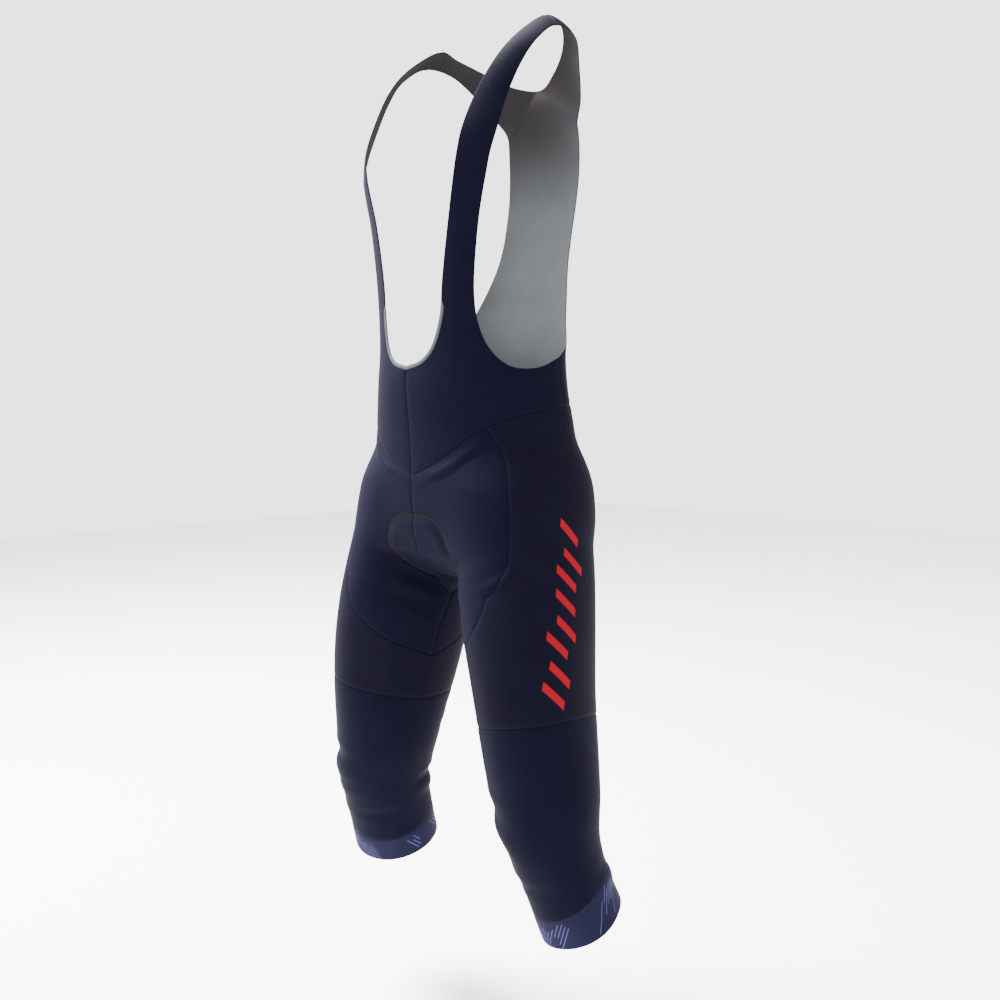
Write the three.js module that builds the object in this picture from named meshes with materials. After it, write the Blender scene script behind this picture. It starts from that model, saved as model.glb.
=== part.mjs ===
// Three-quarter cycling bib tights, standing open in the shape they take when worn.
// Millimetres, +Z up, the wearer faces -Y and their left side is +X. The origin is
// midway between the tops of the two shoulder straps, where the shoulders carry them.
//
// The cloth follows one smooth hollow form: a trunk of ovals, two leg tubes of ovals,
// and a blend between them at the crotch. Every panel is a stretch of that form
// between named seams, given its wall thickness inward.

import * as THREE from 'three';

// ---------------------------------------------------------------- driving sizes

const CLOTH = 2.0;            // wall thickness of every cut panel
const SEAM_GAP = 0.3;         // clear gap between two panels at a seam
const CELL = 22.0;            // target length of a facet across a panel
const BINDING_WIDTH = 5.0;    // width of the neckline binding
const BINDING_END = 1.7;      // width of the binding where it ends
const BINDING_PROUD = 0.5;    // how far the binding stands out of the cloth, each side
const PAD_DEPTH = 4.0;        // thickness of the crotch pad
const STRAP_CROWN = 2.0;      // how far a strap bows outward across its width
const TRUNK_Y = -18.0;        // depth position of the trunk's upright axis
const CROTCH_BLEND = 100.0;   // rounding between the two thighs
const HIP_BLEND = 40.0;       // rounding between the trunk and the thighs
const TRUNK_END = -645.0;     // height below which the trunk closes like a bowl
const TRUNK_END_SLOPE = 1.6;
const TIP_ROUNDING = 0.2;     // rounds the closed end of the trunk
const LEG_START = -570.0;     // height above which the leg tubes fade out
const LEG_START_CURVE = 0.008;
const AXIS_TOP = -430.0;      // ray centres move from the trunk axis to the leg axis
const AXIS_RUN = 120.0;       // over this height
const CROTCH_RUN = 90.0;      // ray centres pass through the crotch within this height of it
const CHEST_Z = -178.0;       // the cloth leaves the upright form here and turns over the shoulder

// Ovals of the trunk, from the shoulder blades down to its closed end. The middle of
// the lowest ones moves forward (y) to the crotch.
const TRUNK = [
  { z: -60, y: 0, side: 164, front: 124, back: 108, power: 2.4 },
  { z: -110, y: 0, side: 165, front: 129, back: 122, power: 2.2 },
  { z: -170, y: 0, side: 165, front: 132, back: 123, power: 2.2 },
  { z: -240, y: 0, side: 152, front: 124, back: 112, power: 2.2 },
  { z: -320, y: 0, side: 140, front: 120, back: 92, power: 2.2 },
  { z: -390, y: 0, side: 133, front: 121, back: 74, power: 2.2 },
  { z: -440, y: 0, side: 137, front: 123, back: 72, power: 2.2 },
  { z: -490, y: 0, side: 145, front: 119, back: 79, power: 2.25 },
  { z: -550, y: 0, side: 151, front: 115, back: 88, power: 2.3 },
  { z: -610, y: -4, side: 147, front: 106, back: 96, power: 2.3 },
  { z: -655, y: -12, side: 108, front: 84, back: 88, power: 2.2 },
  { z: -690, y: -18, side: 60, front: 58, back: 66, power: 2.0 },
];

// One leg: its girth, how much deeper than wide it is, and how far back (y) its axis
// stands from the trunk's. The knee is bent, so the axis goes forward and back again.
const LEG = [
  { at: 'hip', z: -470, girth: 420, deep: 1.2, y: 0 },
  { at: 'seat', z: -560, girth: 500, deep: 1.2, y: -12 },
  { at: 'upper_thigh', z: -650, girth: 540, deep: 1.2, y: -20 },
  { at: 'middle_thigh', z: -730, girth: 540, deep: 1.25, y: -28 },
  { at: 'lower_thigh', z: -820, girth: 500, deep: 1.3, y: -33 },
  { at: 'knee', z: -930, girth: 430, deep: 1.1, y: -36 },
  { at: 'below_knee', z: -990, girth: 380, deep: 1.15, y: -34 },
  { at: 'calf', z: -1050, girth: 360, deep: 1.15, y: -14 },
  { at: 'hem', z: -1100, girth: 370, deep: 1.1, y: 4 },
  { at: 'below_hem', z: -1150, girth: 370, deep: 1.1, y: 22 },
];
const HIP_OUT = 74.0;         // how far out the leg's axis starts, at the hip
const LEG_LEAN = 0.18;        // how far out it moves for each millimetre down
const TURN_OUT = 18.0;        // turn of the leg's section outward, in degrees
const TURN_RUN = 330.0;       // the turn is reached this far below the hip
const LEG_POWER = 2.1;        // roundness of the leg's oval, 2 being an ellipse

// The strap's two edges over the shoulder, from the chest to the back neckline.
const STRAP = [
  { at: 'breast', inner: [92, -129, -143], outer: [125, -104, -146] },
  { at: 'collarbone', inner: [96, -111, -102], outer: [125, -87, -104] },
  { at: 'upper_front', inner: [101, -84, -58], outer: [127, -66, -64] },
  { at: 'front_of_top', inner: [103, -50, -23], outer: [129, -42, -33] },
  { at: 'top', inner: [99, 0, 9], outer: [124, -6, -10] },
  { at: 'back_of_top', inner: [97, 30, 3], outer: [116, 36, -14] },
  { at: 'upper_back', inner: [74, 57, -14], outer: [97, 64, -42] },
  { at: 'blade', inner: [42, 74, -34], outer: [84, 88, -74] },
];
const STRAP_TOP = 4;          // index of the row where front and back straps are joined

// Edges of the front bib above the side seam: turn from the centre front, in degrees.
// Each row sags between its edges, so that the rows fan out under the two openings.
const BIB_EDGES = [
  { row: 0, innerTurn: 0, innerZ: -415, outerTurn: 94, outerZ: -405, sag: 40 },
  { row: 1, innerTurn: 12, innerZ: -408, outerTurn: 78, outerZ: -418, sag: 18 },
  { row: 2, innerTurn: 20, innerZ: -390, outerTurn: 62, outerZ: -415, sag: 4 },
  { row: 3, innerTurn: 25, innerZ: -355, outerTurn: 50, outerZ: -385, sag: 0 },
  { row: 4, innerTurn: 27, innerZ: -310, outerTurn: 45, outerZ: -335, sag: 0 },
  { row: 5, innerTurn: 31, innerZ: -250, outerTurn: 47, outerZ: -255, sag: 0 },
  { row: 6, innerTurn: 36.5, innerZ: CHEST_Z, outerTurn: 52, outerZ: CHEST_Z, sag: 0 },
];
const BINDING_ROWS = 3.5;     // the binding runs up this many rows of the neckline
const ROW_STEP = 0.5;         // rows of cloth stand this far apart in the edge tables

// Edges of the back above the side seam: the outer edge is the armhole, the inner one
// is the centre back up to the bottom of the back neckline.
const BACK_EDGES = [
  { row: 0, outerTurn: 94, outerZ: -405, innerZ: -415 },
  { row: 1, outerTurn: 115, outerZ: -375, innerZ: -380 },
  { row: 2, outerTurn: 130, outerZ: -335, innerZ: -335 },
  { row: 3, outerTurn: 145, outerZ: -270, innerZ: -265 },
  { row: 4, outerTurn: 150, outerZ: -195, innerZ: -185 },
  { row: 5, outerTurn: 150, outerZ: -100, innerZ: -45 },
];

// Height of the yoke and waist seam against the way round (0 front, 1 back).
const YOKE = [
  { round: 0, z: -550 },
  { round: 0.25, z: -490 },
  { round: 0.5, z: -465 },
  { round: 1, z: -455 },
];
const YOKE_SIDE_ROUND = 94 / 180;   // where the side seam meets the yoke seam
const YOKE_LEVEL = -490;      // level of the first leg row, at the front and side seam
const LEVEL_OUT = -640;       // level at which the leg rows have become horizontal

// The two long seams of the thigh against the level, as ways round the leg.
const THIGH_SEAMS = [
  { level: -490, front: 0.25, back: 0.7 },
  { level: -530, front: 0.28, back: 0.7 },
  { level: -640, front: 0.3, back: 0.71 },
  { level: -720, front: 0.26, back: 0.76 },
  { level: -770, front: 0.15, back: 0.86 },
  { level: -800, front: 0, back: 1 },
];
const THIGH_POINT = -800;     // level of the lower points of the front and seat panels

// Tilt of the leg's rows: how much lower the front and how much higher the outside are.
const TILT = [
  { level: -800, front: 0, side: 0 },
  { level: -845, front: -5, side: 15 },
  { level: -940, front: 10, side: 15 },
  { level: -1050, front: 25, side: 15 },
  { level: -1090, front: 20, side: 10 },
];
const KNEE_LEVEL = -845;      // seam above the knee
const CUFF_LEVEL = -1050;     // seam of the cuff
const HEM_LEVEL = -1090;      // free edge of the cuff

// Half width of the crotch pad against the level, as a part of the way round: in front,
// from the centre front, and behind, from the centre back.
const PAD = [
  { above: 110, front: 0, back: 0 },
  { above: 105, front: 0.025, back: 0 },
  { above: 95, front: 0.045, back: 0 },
  { above: 80, front: 0.065, back: 0.05 },
  { above: 60, front: 0.08, back: 0.08 },
  { above: 40, front: 0.085, back: 0.09 },
  { above: 24, front: 0.08, back: 0.085 },
  { above: 12, front: 0.07, back: 0.07 },
  { above: 0, front: 0.055, back: 0.05 },
  { above: -12, front: 0.035, back: 0.035 },
  { above: -26, front: 0, back: 0 },
];
const PAD_STEPS = 2;          // facets across each half of the pad

// ---------------------------------------------------------------- small helpers

const clamp = (value, low, high) => Math.min(high, Math.max(low, value));
const mix = (a, b, part) => a + (b - a) * part;
const mixPoint = (p, q, part) => p.map((value, axis) => mix(value, q[axis], part));
const minus = (p, q) => [p[0] - q[0], p[1] - q[1], p[2] - q[2]];
const along = (p, direction, length) => p.map((value, axis) => value + direction[axis] * length);
const dot = (p, q) => p[0] * q[0] + p[1] * q[1] + p[2] * q[2];
const cross = (p, q) => [
  p[1] * q[2] - p[2] * q[1],
  p[2] * q[0] - p[0] * q[2],
  p[0] * q[1] - p[1] * q[0],
];
const unit = (p) => {
  const length = Math.hypot(...p) || 1;
  return p.map((value) => value / length);
};
const smoothStep = (part) => {
  const t = clamp(part, 0, 1);
  return t * t * (3 - 2 * t);
};

// Smooth curve through the rows of a table: reads column `name` at `key` = value.
function readTable(table, key, value, name) {
  const rising = table[table.length - 1][key] > table[0][key];
  const rows = rising ? table : [...table].reverse();
  const at = clamp(value, rows[0][key], rows[rows.length - 1][key]);
  let index = 0;
  while (index < rows.length - 2 && rows[index + 1][key] < at) index += 1;
  const slope = (row) => {
    const low = rows[Math.max(0, row - 1)];
    const high = rows[Math.min(rows.length - 1, row + 1)];
    return (high[name] - low[name]) / (high[key] - low[key]);
  };
  const low = rows[index];
  const high = rows[index + 1];
  const run = high[key] - low[key];
  const t = (at - low[key]) / run;
  return low[name] * (1 + 2 * t) * (1 - t) ** 2
    + high[name] * t * t * (3 - 2 * t)
    + slope(index) * run * t * (1 - t) ** 2
    + slope(index + 1) * run * t * t * (t - 1);
}

// ---------------------------------------------------------------- the hollow form

// Signed distance, roughly in millimetres, of (x, y) from a leg's oval.
function limbDistance(x, y, leg) {
  const turn = (leg.turnOut * Math.PI) / 180;
  const dx = x - leg.x;
  const dy = y - leg.y;
  const across = dx * Math.cos(turn) + dy * Math.sin(turn);
  const along = dy * Math.cos(turn) - dx * Math.sin(turn);
  return ovalDistance(across, along, leg);
}

// Signed distance, roughly in millimetres, of (x, y) from an oval about the origin.
function ovalDistance(x, y, oval) {
  const depth = y < 0 ? oval.front : oval.back;
  const sum = (Math.abs(x) / oval.side) ** oval.power + (Math.abs(y) / depth) ** oval.power;
  const reach = Math.hypot(sum ** (1 / oval.power), TIP_ROUNDING);
  return (reach - Math.hypot(1, TIP_ROUNDING)) * Math.min(oval.side, (oval.front + oval.back) / 2);
}

// The smaller of two distances, rounded over the given width.
function smoothMin(a, b, width) {
  const part = clamp(0.5 + (0.5 * (b - a)) / width, 0, 1);
  return mix(b, a, part) - width * part * (1 - part);
}

function ovalAt(table, z) {
  const oval = {};
  for (const name of Object.keys(table[0])) {
    if (name !== 'z' && name !== 'at') oval[name] = readTable(table, 'z', z, name);
  }
  return oval;
}

// Oval of the leg at a height. An ellipse's girth is about 2 pi times the root mean
// square of its two half widths.
function legOval(z) {
  const { girth, deep, y } = ovalAt(LEG, z);
  const down = Math.max(0, LEG[0].z - z);
  const side = (girth / (2 * Math.PI)) * Math.sqrt(2 / (1 + deep ** 2));
  return {
    x: HIP_OUT + LEG_LEAN * down,
    y,
    side,
    front: side * deep,
    back: side * deep,
    turnOut: TURN_OUT * smoothStep(down / TURN_RUN),
    power: LEG_POWER,
  };
}

const ovalCache = new Map();
function ovalsAt(z) {
  const key = z.toFixed(5);
  if (!ovalCache.has(key)) ovalCache.set(key, { trunk: ovalAt(TRUNK, z), leg: legOval(z) });
  return ovalCache.get(key);
}

// Below zero inside the figure, above zero outside it.
function form(x, y, z) {
  const { trunk, leg } = ovalsAt(z);
  const depth = y - TRUNK_Y;
  const bowl = Math.max(0, TRUNK_END - z) * TRUNK_END_SLOPE;
  const body = ovalDistance(x, depth - trunk.y, trunk) + bowl;
  const left = limbDistance(x, depth, leg);
  const right = limbDistance(-x, depth, leg);
  const fade = Math.max(0, z - LEG_START) ** 2 * LEG_START_CURVE;
  return smoothMin(body, smoothMin(left, right, CROTCH_BLEND) + fade, HIP_BLEND);
}

// Outward direction of the form's surface at a point.
function formNormal(point) {
  const step = 0.05;
  const [x, y, z] = point;
  return unit([
    form(x + step, y, z) - form(x - step, y, z),
    form(x, y + step, z) - form(x, y - step, z),
    form(x, y, z + step) - form(x, y, z - step),
  ]);
}

// Distance from (x, y) to the form's surface along a level direction, never past x = 0.
function rayLength(x, y, z, dx, dy) {
  let low = 0;
  let high = dx < -1e-9 ? Math.min(400, -x / dx) : 400;
  for (let turn = 0; turn < 48; turn += 1) {
    const middle = (low + high) / 2;
    if (form(x + dx * middle, y + dy * middle, z) < 0) low = middle;
    else high = middle;
  }
  return (low + high) / 2;
}

// Depth position of the deepest point of the form in the plane x = 0 at a height.
function deepestY(z) {
  let low = -100;
  let high = 40;
  for (let turn = 0; turn < 60; turn += 1) {
    const third = (high - low) / 3;
    if (form(0, low + third, z) < form(0, high - third, z)) high -= third;
    else low += third;
  }
  return (low + high) / 2;
}

// The crotch: the lowest point of the form in the plane x = 0.
function findCrotch() {
  let low = -800;
  let high = -560;
  for (let turn = 0; turn < 40; turn += 1) {
    const middle = (low + high) / 2;
    if (form(0, deepestY(middle), middle) < 0) high = middle;
    else low = middle;
  }
  const z = (low + high) / 2;
  return { y: deepestY(z), z };
}
const CROTCH = findCrotch();
const CROTCH_Z = CROTCH.z;

// Centre of the rays that find the left half of the surface at a height.
function rayCentre(z) {
  const leg = ovalsAt(z).leg;
  const shift = smoothStep((AXIS_TOP - z) / AXIS_RUN);
  const near = smoothStep(1 - Math.abs(z - CROTCH.z) / CROTCH_RUN);
  return { x: leg.x * shift, y: mix(TRUNK_Y + leg.y * shift, CROTCH.y, near) };
}

// Point of the wearer's left half at a way round and a height. Round 0 is the centre
// front, 0.5 the side and 1 the centre back; below the crotch 0 and 1 are the inseam.
function formPoint(round, z) {
  const { x, y } = rayCentre(z);
  let startTurn = Math.PI;
  let endTurn = Math.PI;
  if (z > CROTCH_Z) {
    const middle = deepestY(z);
    const front = middle - rayLength(0, middle, z, 0, -1);
    const back = middle + rayLength(0, middle, z, 0, 1);
    startTurn = Math.atan2(y - front, -x);
    endTurn = Math.atan2(back - y, -x);
    if (startTurn < 0) startTurn += 2 * Math.PI;
    if (endTurn < 0) endTurn += 2 * Math.PI;
  }
  const turn = (startTurn + endTurn) * round - startTurn;
  const dx = Math.cos(turn);
  const dy = Math.sin(turn);
  const length = rayLength(x, y, z, dx, dy);
  const seam = z >= CROTCH_Z && (round === 0 || round === 1);
  return [seam ? 0 : x + dx * length, y + dy * length, z];
}

// ---------------------------------------------------------------- levels and seams

const yokeZ = (round) => readTable(YOKE, 'round', round, 'z');

// Height of a leg row at a way round: it follows the yoke at the top, is level at the
// crotch, and leans with the shin further down.
function legZ(round, level) {
  const fade = smoothStep((level - LEVEL_OUT) / (YOKE_LEVEL - LEVEL_OUT));
  const yoke = (yokeZ(round) - YOKE_LEVEL) * fade;
  const front = readTable(TILT, 'level', level, 'front');
  const side = readTable(TILT, 'level', level, 'side');
  const turn = 2 * Math.PI * round;
  return level + yoke - front * Math.sin(turn) - side * Math.cos(turn);
}

function legPoint(round, level) {
  return formPoint(round, legZ(round, level));
}

const frontSeam = (level) => (level <= THIGH_POINT ? 0 : readTable(THIGH_SEAMS, 'level', level, 'front'));
const backSeam = (level) => (level <= THIGH_POINT ? 1 : readTable(THIGH_SEAMS, 'level', level, 'back'));

// ---------------------------------------------------------------- rows of points

// A knot is a point with the outward direction of the cloth there.
const knotOnForm = (round, z) => {
  const point = formPoint(round, z);
  return { point, normal: formNormal(point) };
};
const knotOnLeg = (round, level) => {
  const point = legPoint(round, level);
  return { point, normal: formNormal(point) };
};

// A row of knots from one parameter to another, in `count` equal steps.
function row(count, makeKnot) {
  return Array.from({ length: count + 1 }, (_, index) => makeKnot(count ? index / count : 0));
}

function stepsFor(start, end, levelOf) {
  let length = 0;
  const probes = 8;
  for (let index = 0; index < probes; index += 1) {
    const a = levelOf(mix(start, end, index / probes));
    const b = levelOf(mix(start, end, (index + 1) / probes));
    length += Math.hypot(...minus(a, b));
  }
  return Math.max(1, Math.round(length / CELL));
}

// Row of a leg panel between two ways round, with facets of about the target length.
function legRow(start, end, level, count = null) {
  const steps = count ?? stepsFor(start, end, (round) => legPoint(round, level));
  return row(steps, (part) => knotOnLeg(mix(start, end, part), level));
}

// ---------------------------------------------------------------- sheets and solids

// A sheet is a list of knots and the triangles between them.
class Sheet {
  constructor() {
    this.knots = [];
    this.faces = [];
    this.keys = new Map();
  }

  place(knot) {
    const key = knot.point.map((value) => value.toFixed(3)).join(' ');
    if (!this.keys.has(key)) {
      this.keys.set(key, this.knots.length);
      this.knots.push(knot);
    }
    return this.keys.get(key);
  }

  face(a, b, c) {
    const corners = [a, b, c].map((knot) => this.place(knot));
    if (new Set(corners).size === 3) this.faces.push(corners);
  }

  // Fills the strip between two rows, which may hold different numbers of knots, always
  // taking the shorter of the two possible crossings.
  join(lower, upper) {
    let low = 0;
    let high = 0;
    const gap = (a, b) => (a && b ? Math.hypot(...minus(a.point, b.point)) : Infinity);
    while (low < lower.length - 1 || high < upper.length - 1) {
      if (gap(lower[low + 1], upper[high]) <= gap(lower[low], upper[high + 1])) {
        this.face(lower[low], lower[low + 1], upper[high]);
        low += 1;
      } else {
        this.face(lower[low], upper[high + 1], upper[high]);
        high += 1;
      }
    }
  }

  rows(list) {
    for (let index = 0; index + 1 < list.length; index += 1) this.join(list[index], list[index + 1]);
    return this;
  }

  // The same sheet on the wearer's other side.
  mirrored() {
    const other = new Sheet();
    const flip = (p) => [-p[0], p[1], p[2]];
    const turned = this.knots.map(({ point, normal }) => ({ point: flip(point), normal: flip(normal) }));
    for (const [a, b, c] of this.faces) other.face(turned[a], turned[c], turned[b]);
    return other;
  }

  add(other) {
    for (const [a, b, c] of other.faces) this.face(other.knots[a], other.knots[b], other.knots[c]);
    return this;
  }
}

// Edges that belong to one face only, in the order of that face.
function borderEdges(faces) {
  const seen = new Set();
  const list = [];
  for (const [a, b, c] of faces) {
    for (const [from, to] of [[a, b], [b, c], [c, a]]) {
      seen.add(`${from} ${to}`);
      list.push([from, to]);
    }
  }
  return list.filter(([from, to]) => !seen.has(`${to} ${from}`));
}

const SHARPEST_CORNER = 0.35;   // corners of a border are moved no further than this allows

// Moves the border of a sheet inward, within the cloth, by half the seam gap.
function trimmedKnots(sheet, border) {
  const pulls = new Map();
  const pull = (index, direction) => {
    if (!pulls.has(index)) pulls.set(index, []);
    pulls.get(index).push(direction);
  };
  for (const [from, to] of border) {
    const edge = minus(sheet.knots[to].point, sheet.knots[from].point);
    for (const index of [from, to]) pull(index, unit(cross(sheet.knots[index].normal, edge)));
  }
  return sheet.knots.map((knot, index) => {
    const directions = pulls.get(index);
    if (!directions) return knot;
    const sum = directions.reduce((total, next) => along(total, next, 1), [0, 0, 0]);
    const middle = unit(sum);
    const reach = Math.max(SHARPEST_CORNER, dot(middle, directions[0]));
    return { point: along(knot.point, middle, SEAM_GAP / 2 / reach), normal: knot.normal };
  });
}

// Closed solid between two depths under a sheet: `outer` and `inner` count inward.
function solidGeometry(sheet, outer, inner) {
  const border = borderEdges(sheet.faces);
  const knots = trimmedKnots(sheet, border);
  const count = knots.length;
  const positions = new Float32Array(count * 6);
  knots.forEach(({ point, normal }, index) => {
    positions.set(along(point, normal, -outer), index * 3);
    positions.set(along(point, normal, -inner), (count + index) * 3);
  });
  const indices = [];
  for (const [a, b, c] of sheet.faces) {
    indices.push(a, b, c);
    indices.push(count + a, count + c, count + b);
  }
  // Both panels at a seam split their edge walls the same way, from the higher end.
  const above = (a, b) => {
    const [p, q] = [sheet.knots[a].point, sheet.knots[b].point];
    return Math.abs(p[2] - q[2]) > 1e-3 ? p[2] > q[2] : Math.abs(p[0]) < Math.abs(q[0]);
  };
  for (const [from, to] of border) {
    if (above(from, to)) {
      indices.push(from, count + from, count + to);
      indices.push(from, count + to, to);
    } else {
      indices.push(from, count + from, to);
      indices.push(to, count + from, count + to);
    }
  }
  const geometry = new THREE.BufferGeometry();
  geometry.setAttribute('position', new THREE.BufferAttribute(positions, 3));
  geometry.setIndex(indices);
  geometry.computeVertexNormals();
  return geometry;
}

// ---------------------------------------------------------------- the bib

const roundOfTurn = (degrees) => degrees / 180;

// The strap's edge rows, starting with the chest row that lies on the form, with one
// row more at either end that only steers the curve.
const pointOfTurn = (degrees, z) => formPoint(roundOfTurn(degrees), z);
const CHEST_AT = BIB_EDGES.length - 1;
const BLADE_ROW_AT = BACK_EDGES.length - 1;

// The edges of the bib, or of the back, at a row number that may lie between two rows.
function edgeAt(table, at) {
  const names = Object.keys(table[0]).filter((name) => name !== 'row');
  return Object.fromEntries(names.map((name) => [name, readTable(table, 'row', at, name)]));
}

// Row numbers from 0 to the last one, ROW_STEP apart.
const rowNumbers = (last) => Array.from({ length: last / ROW_STEP + 1 }, (_, index) => index * ROW_STEP);

const CHEST_ROW = edgeAt(BIB_EDGES, CHEST_AT);
const BELOW_CHEST = edgeAt(BIB_EDGES, CHEST_AT - ROW_STEP);
const BLADE_ROW = edgeAt(BACK_EDGES, BLADE_ROW_AT);
const BELOW_BLADE = edgeAt(BACK_EDGES, BLADE_ROW_AT - ROW_STEP);
const strapEdges = [
  ...[BELOW_CHEST, CHEST_ROW].map((edge) => ({
    inner: pointOfTurn(edge.innerTurn, edge.innerZ),
    outer: pointOfTurn(edge.outerTurn, edge.outerZ),
  })),
  ...STRAP,
  { inner: pointOfTurn(180, BLADE_ROW.innerZ), outer: pointOfTurn(BLADE_ROW.outerTurn, BLADE_ROW.outerZ) },
  {
    inner: STRAP[STRAP.length - 1].inner.map((value, axis) => (axis === 0 ? -value : value)),
    outer: pointOfTurn(BELOW_BLADE.outerTurn, BELOW_BLADE.outerZ),
  },
];
const LAST_STRAP_ROW = strapEdges.length - 3;

// Point on a smooth curve through one edge of the strap rows, at row number `at`.
function strapEdge(name, at) {
  const index = clamp(Math.floor(at), 0, LAST_STRAP_ROW - 1);
  const t = at - index;
  const p = [0, 1, 2, 3].map((step) => strapEdges[index + step][name]);
  return p[1].map((_, axis) => {
    const [a, b, c, d] = p.map((point) => point[axis]);
    return 0.5 * (2 * b + (c - a) * t + (2 * a - 5 * b + 4 * c - d) * t ** 2
      + (3 * b - a - 3 * c + d) * t ** 3);
  });
}

// Knot of the strap: `at` runs along it, `across` from the inner to the outer edge.
function knotOnStrap(across, at) {
  const step = 0.02;
  const spot = (place) => mixPoint(strapEdge('inner', place), strapEdge('outer', place), across);
  const width = minus(strapEdge('outer', at), strapEdge('inner', at));
  const travel = minus(spot(Math.min(LAST_STRAP_ROW, at + step)), spot(Math.max(0, at - step)));
  const normal = unit(cross(width, travel));
  const bow = STRAP_CROWN * 4 * across * (1 - across);
  return { point: along(spot(at), normal, bow), normal };
}

// Row of the bib on the upright form between two edge points.
const sagAt = (sag, part) => sag * 4 * part * (1 - part);
function bibRow(inner, outer, count, sag = 0) {
  return row(count, (part) => knotOnForm(
    mix(inner.round, outer.round, part),
    mix(inner.z, outer.z, part) - sagAt(sag, part),
  ));
}

const YOKE_STEPS = { front: 6, sideFront: 6, sideBack: 3, seat: 6 };
const BELOW_BIB_ROWS = 4;     // rows between the yoke seam and the top of the side seam

// Lowest row of the front bib and of the back: the yoke seam's own points.
function yokeKnots(stretches) {
  const knots = [];
  for (const { start, end, steps } of stretches) {
    for (let index = knots.length ? 1 : 0; index <= steps; index += 1) {
      const round = mix(start, end, index / steps);
      knots.push(knotOnForm(round, yokeZ(round)));
    }
  }
  return knots;
}
const FRONT_AT_YOKE = frontSeam(YOKE_LEVEL);
const BACK_AT_YOKE = backSeam(YOKE_LEVEL);
const yokeFront = () => yokeKnots([
  { start: 0, end: FRONT_AT_YOKE, steps: YOKE_STEPS.front },
  { start: FRONT_AT_YOKE, end: YOKE_SIDE_ROUND, steps: YOKE_STEPS.sideFront },
]);
const yokeBack = () => yokeKnots([
  { start: YOKE_SIDE_ROUND, end: BACK_AT_YOKE, steps: YOKE_STEPS.sideBack },
  { start: BACK_AT_YOKE, end: 1, steps: YOKE_STEPS.seat },
]);

// Rows between the yoke seam and a row of given edge heights, at the same ways round.
function waistRows(startRound, endRound, startTopZ, endTopZ, steps, sag = 0) {
  const rows = [];
  for (let index = 1; index < BELOW_BIB_ROWS; index += 1) {
    const up = index / BELOW_BIB_ROWS;
    rows.push(row(steps, (part) => {
      const round = mix(startRound, endRound, part);
      const top = mix(startTopZ, endTopZ, part) - sagAt(sag, part);
      return knotOnForm(round, mix(yokeZ(round), top, up));
    }));
  }
  return rows;
}

// Front bib without the binding's strip: the inner edge is set back where it is bound.
function frontRows(setBack) {
  const first = BIB_EDGES[0];
  const bodySteps = 9;
  const rows = [
    yokeFront(),
    ...waistRows(0, YOKE_SIDE_ROUND, first.innerZ - setBack, first.outerZ, bodySteps, first.sag),
  ];
  rowNumbers(CHEST_AT).forEach((at) => {
    const steps = Math.max(2, bodySteps - Math.round(at * 2));
    const edge = edgeAt(BIB_EDGES, at);
    rows.push(bibRow(bindingEdge(at, setBack), outerEdge(edge), steps, edge.sag));
  });
  return rows;
}
const outerEdge = (edge) => ({ round: roundOfTurn(edge.outerTurn), z: edge.outerZ });

// Neckline edge of a bib row, moved away from the opening by `setBack` millimetres.
function bindingEdge(at, setBack) {
  const edge = edgeAt(BIB_EDGES, at);
  const here = { round: roundOfTurn(edge.innerTurn), z: edge.innerZ };
  if (!setBack || at >= BINDING_ROWS) return here;
  const low = edgeAt(BIB_EDGES, Math.max(0, at - ROW_STEP));
  const high = edgeAt(BIB_EDGES, at + ROW_STEP);
  const roundLength = 400;
  const across = roundOfTurn(high.innerTurn - low.innerTurn) * roundLength;
  const up = high.innerZ - low.innerZ;
  const length = Math.hypot(across, up);
  const sideways = at ? up / length : 0;
  const down = at ? across / length : 1;
  return { round: here.round + (sideways * setBack) / roundLength, z: here.z - down * setBack };
}

function strapRows(from, to, steps) {
  const rows = [];
  const count = Math.round((to - from) * 2);
  for (let index = 1; index <= count; index += 1) {
    const at = mix(from, to, index / count);
    rows.push(row(steps, (part) => knotOnStrap(part, at)));
  }
  return rows;
}

const STRAP_STEPS = 2;
const TOP_AT = STRAP_TOP + 1;
const BLADE_AT = LAST_STRAP_ROW;

function bibFrontSheet() {
  return new Sheet().rows([...frontRows(BINDING_WIDTH), ...strapRows(0, TOP_AT, STRAP_STEPS)]);
}

function bindingSheet() {
  const rows = [];
  for (const at of rowNumbers(BINDING_ROWS)) {
    const last = at === BINDING_ROWS;
    const far = last ? BINDING_END : BINDING_WIDTH;
    rows.push(bibRow(bindingEdge(at, 0), bindingEdge(last ? at - ROW_STEP : at, far), 1));
  }
  return rows;
}

function bibBackSheet() {
  const first = BACK_EDGES[0];
  const bodySteps = 8;
  const rows = [
    yokeBack(),
    ...waistRows(YOKE_SIDE_ROUND, 1, first.outerZ, first.innerZ, bodySteps),
  ];
  rowNumbers(BLADE_ROW_AT).forEach((at) => {
    const steps = Math.max(4, bodySteps - Math.round(at * 2));
    const edge = edgeAt(BACK_EDGES, at);
    rows.push(bibRow(outerEdge(edge), { round: 1, z: edge.innerZ }, steps));
  });
  const half = new Sheet().rows(rows);
  const straps = strapRows(TOP_AT, BLADE_AT, STRAP_STEPS).slice(0, -1);
  const top = row(STRAP_STEPS, (part) => knotOnStrap(part, TOP_AT));
  const chain = [rows[rows.length - 1], ...[top, ...straps].reverse().map((line) => [...line].reverse())];
  half.rows(chain);
  return half.add(half.mirrored());
}

// ---------------------------------------------------------------- the legs

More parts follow.
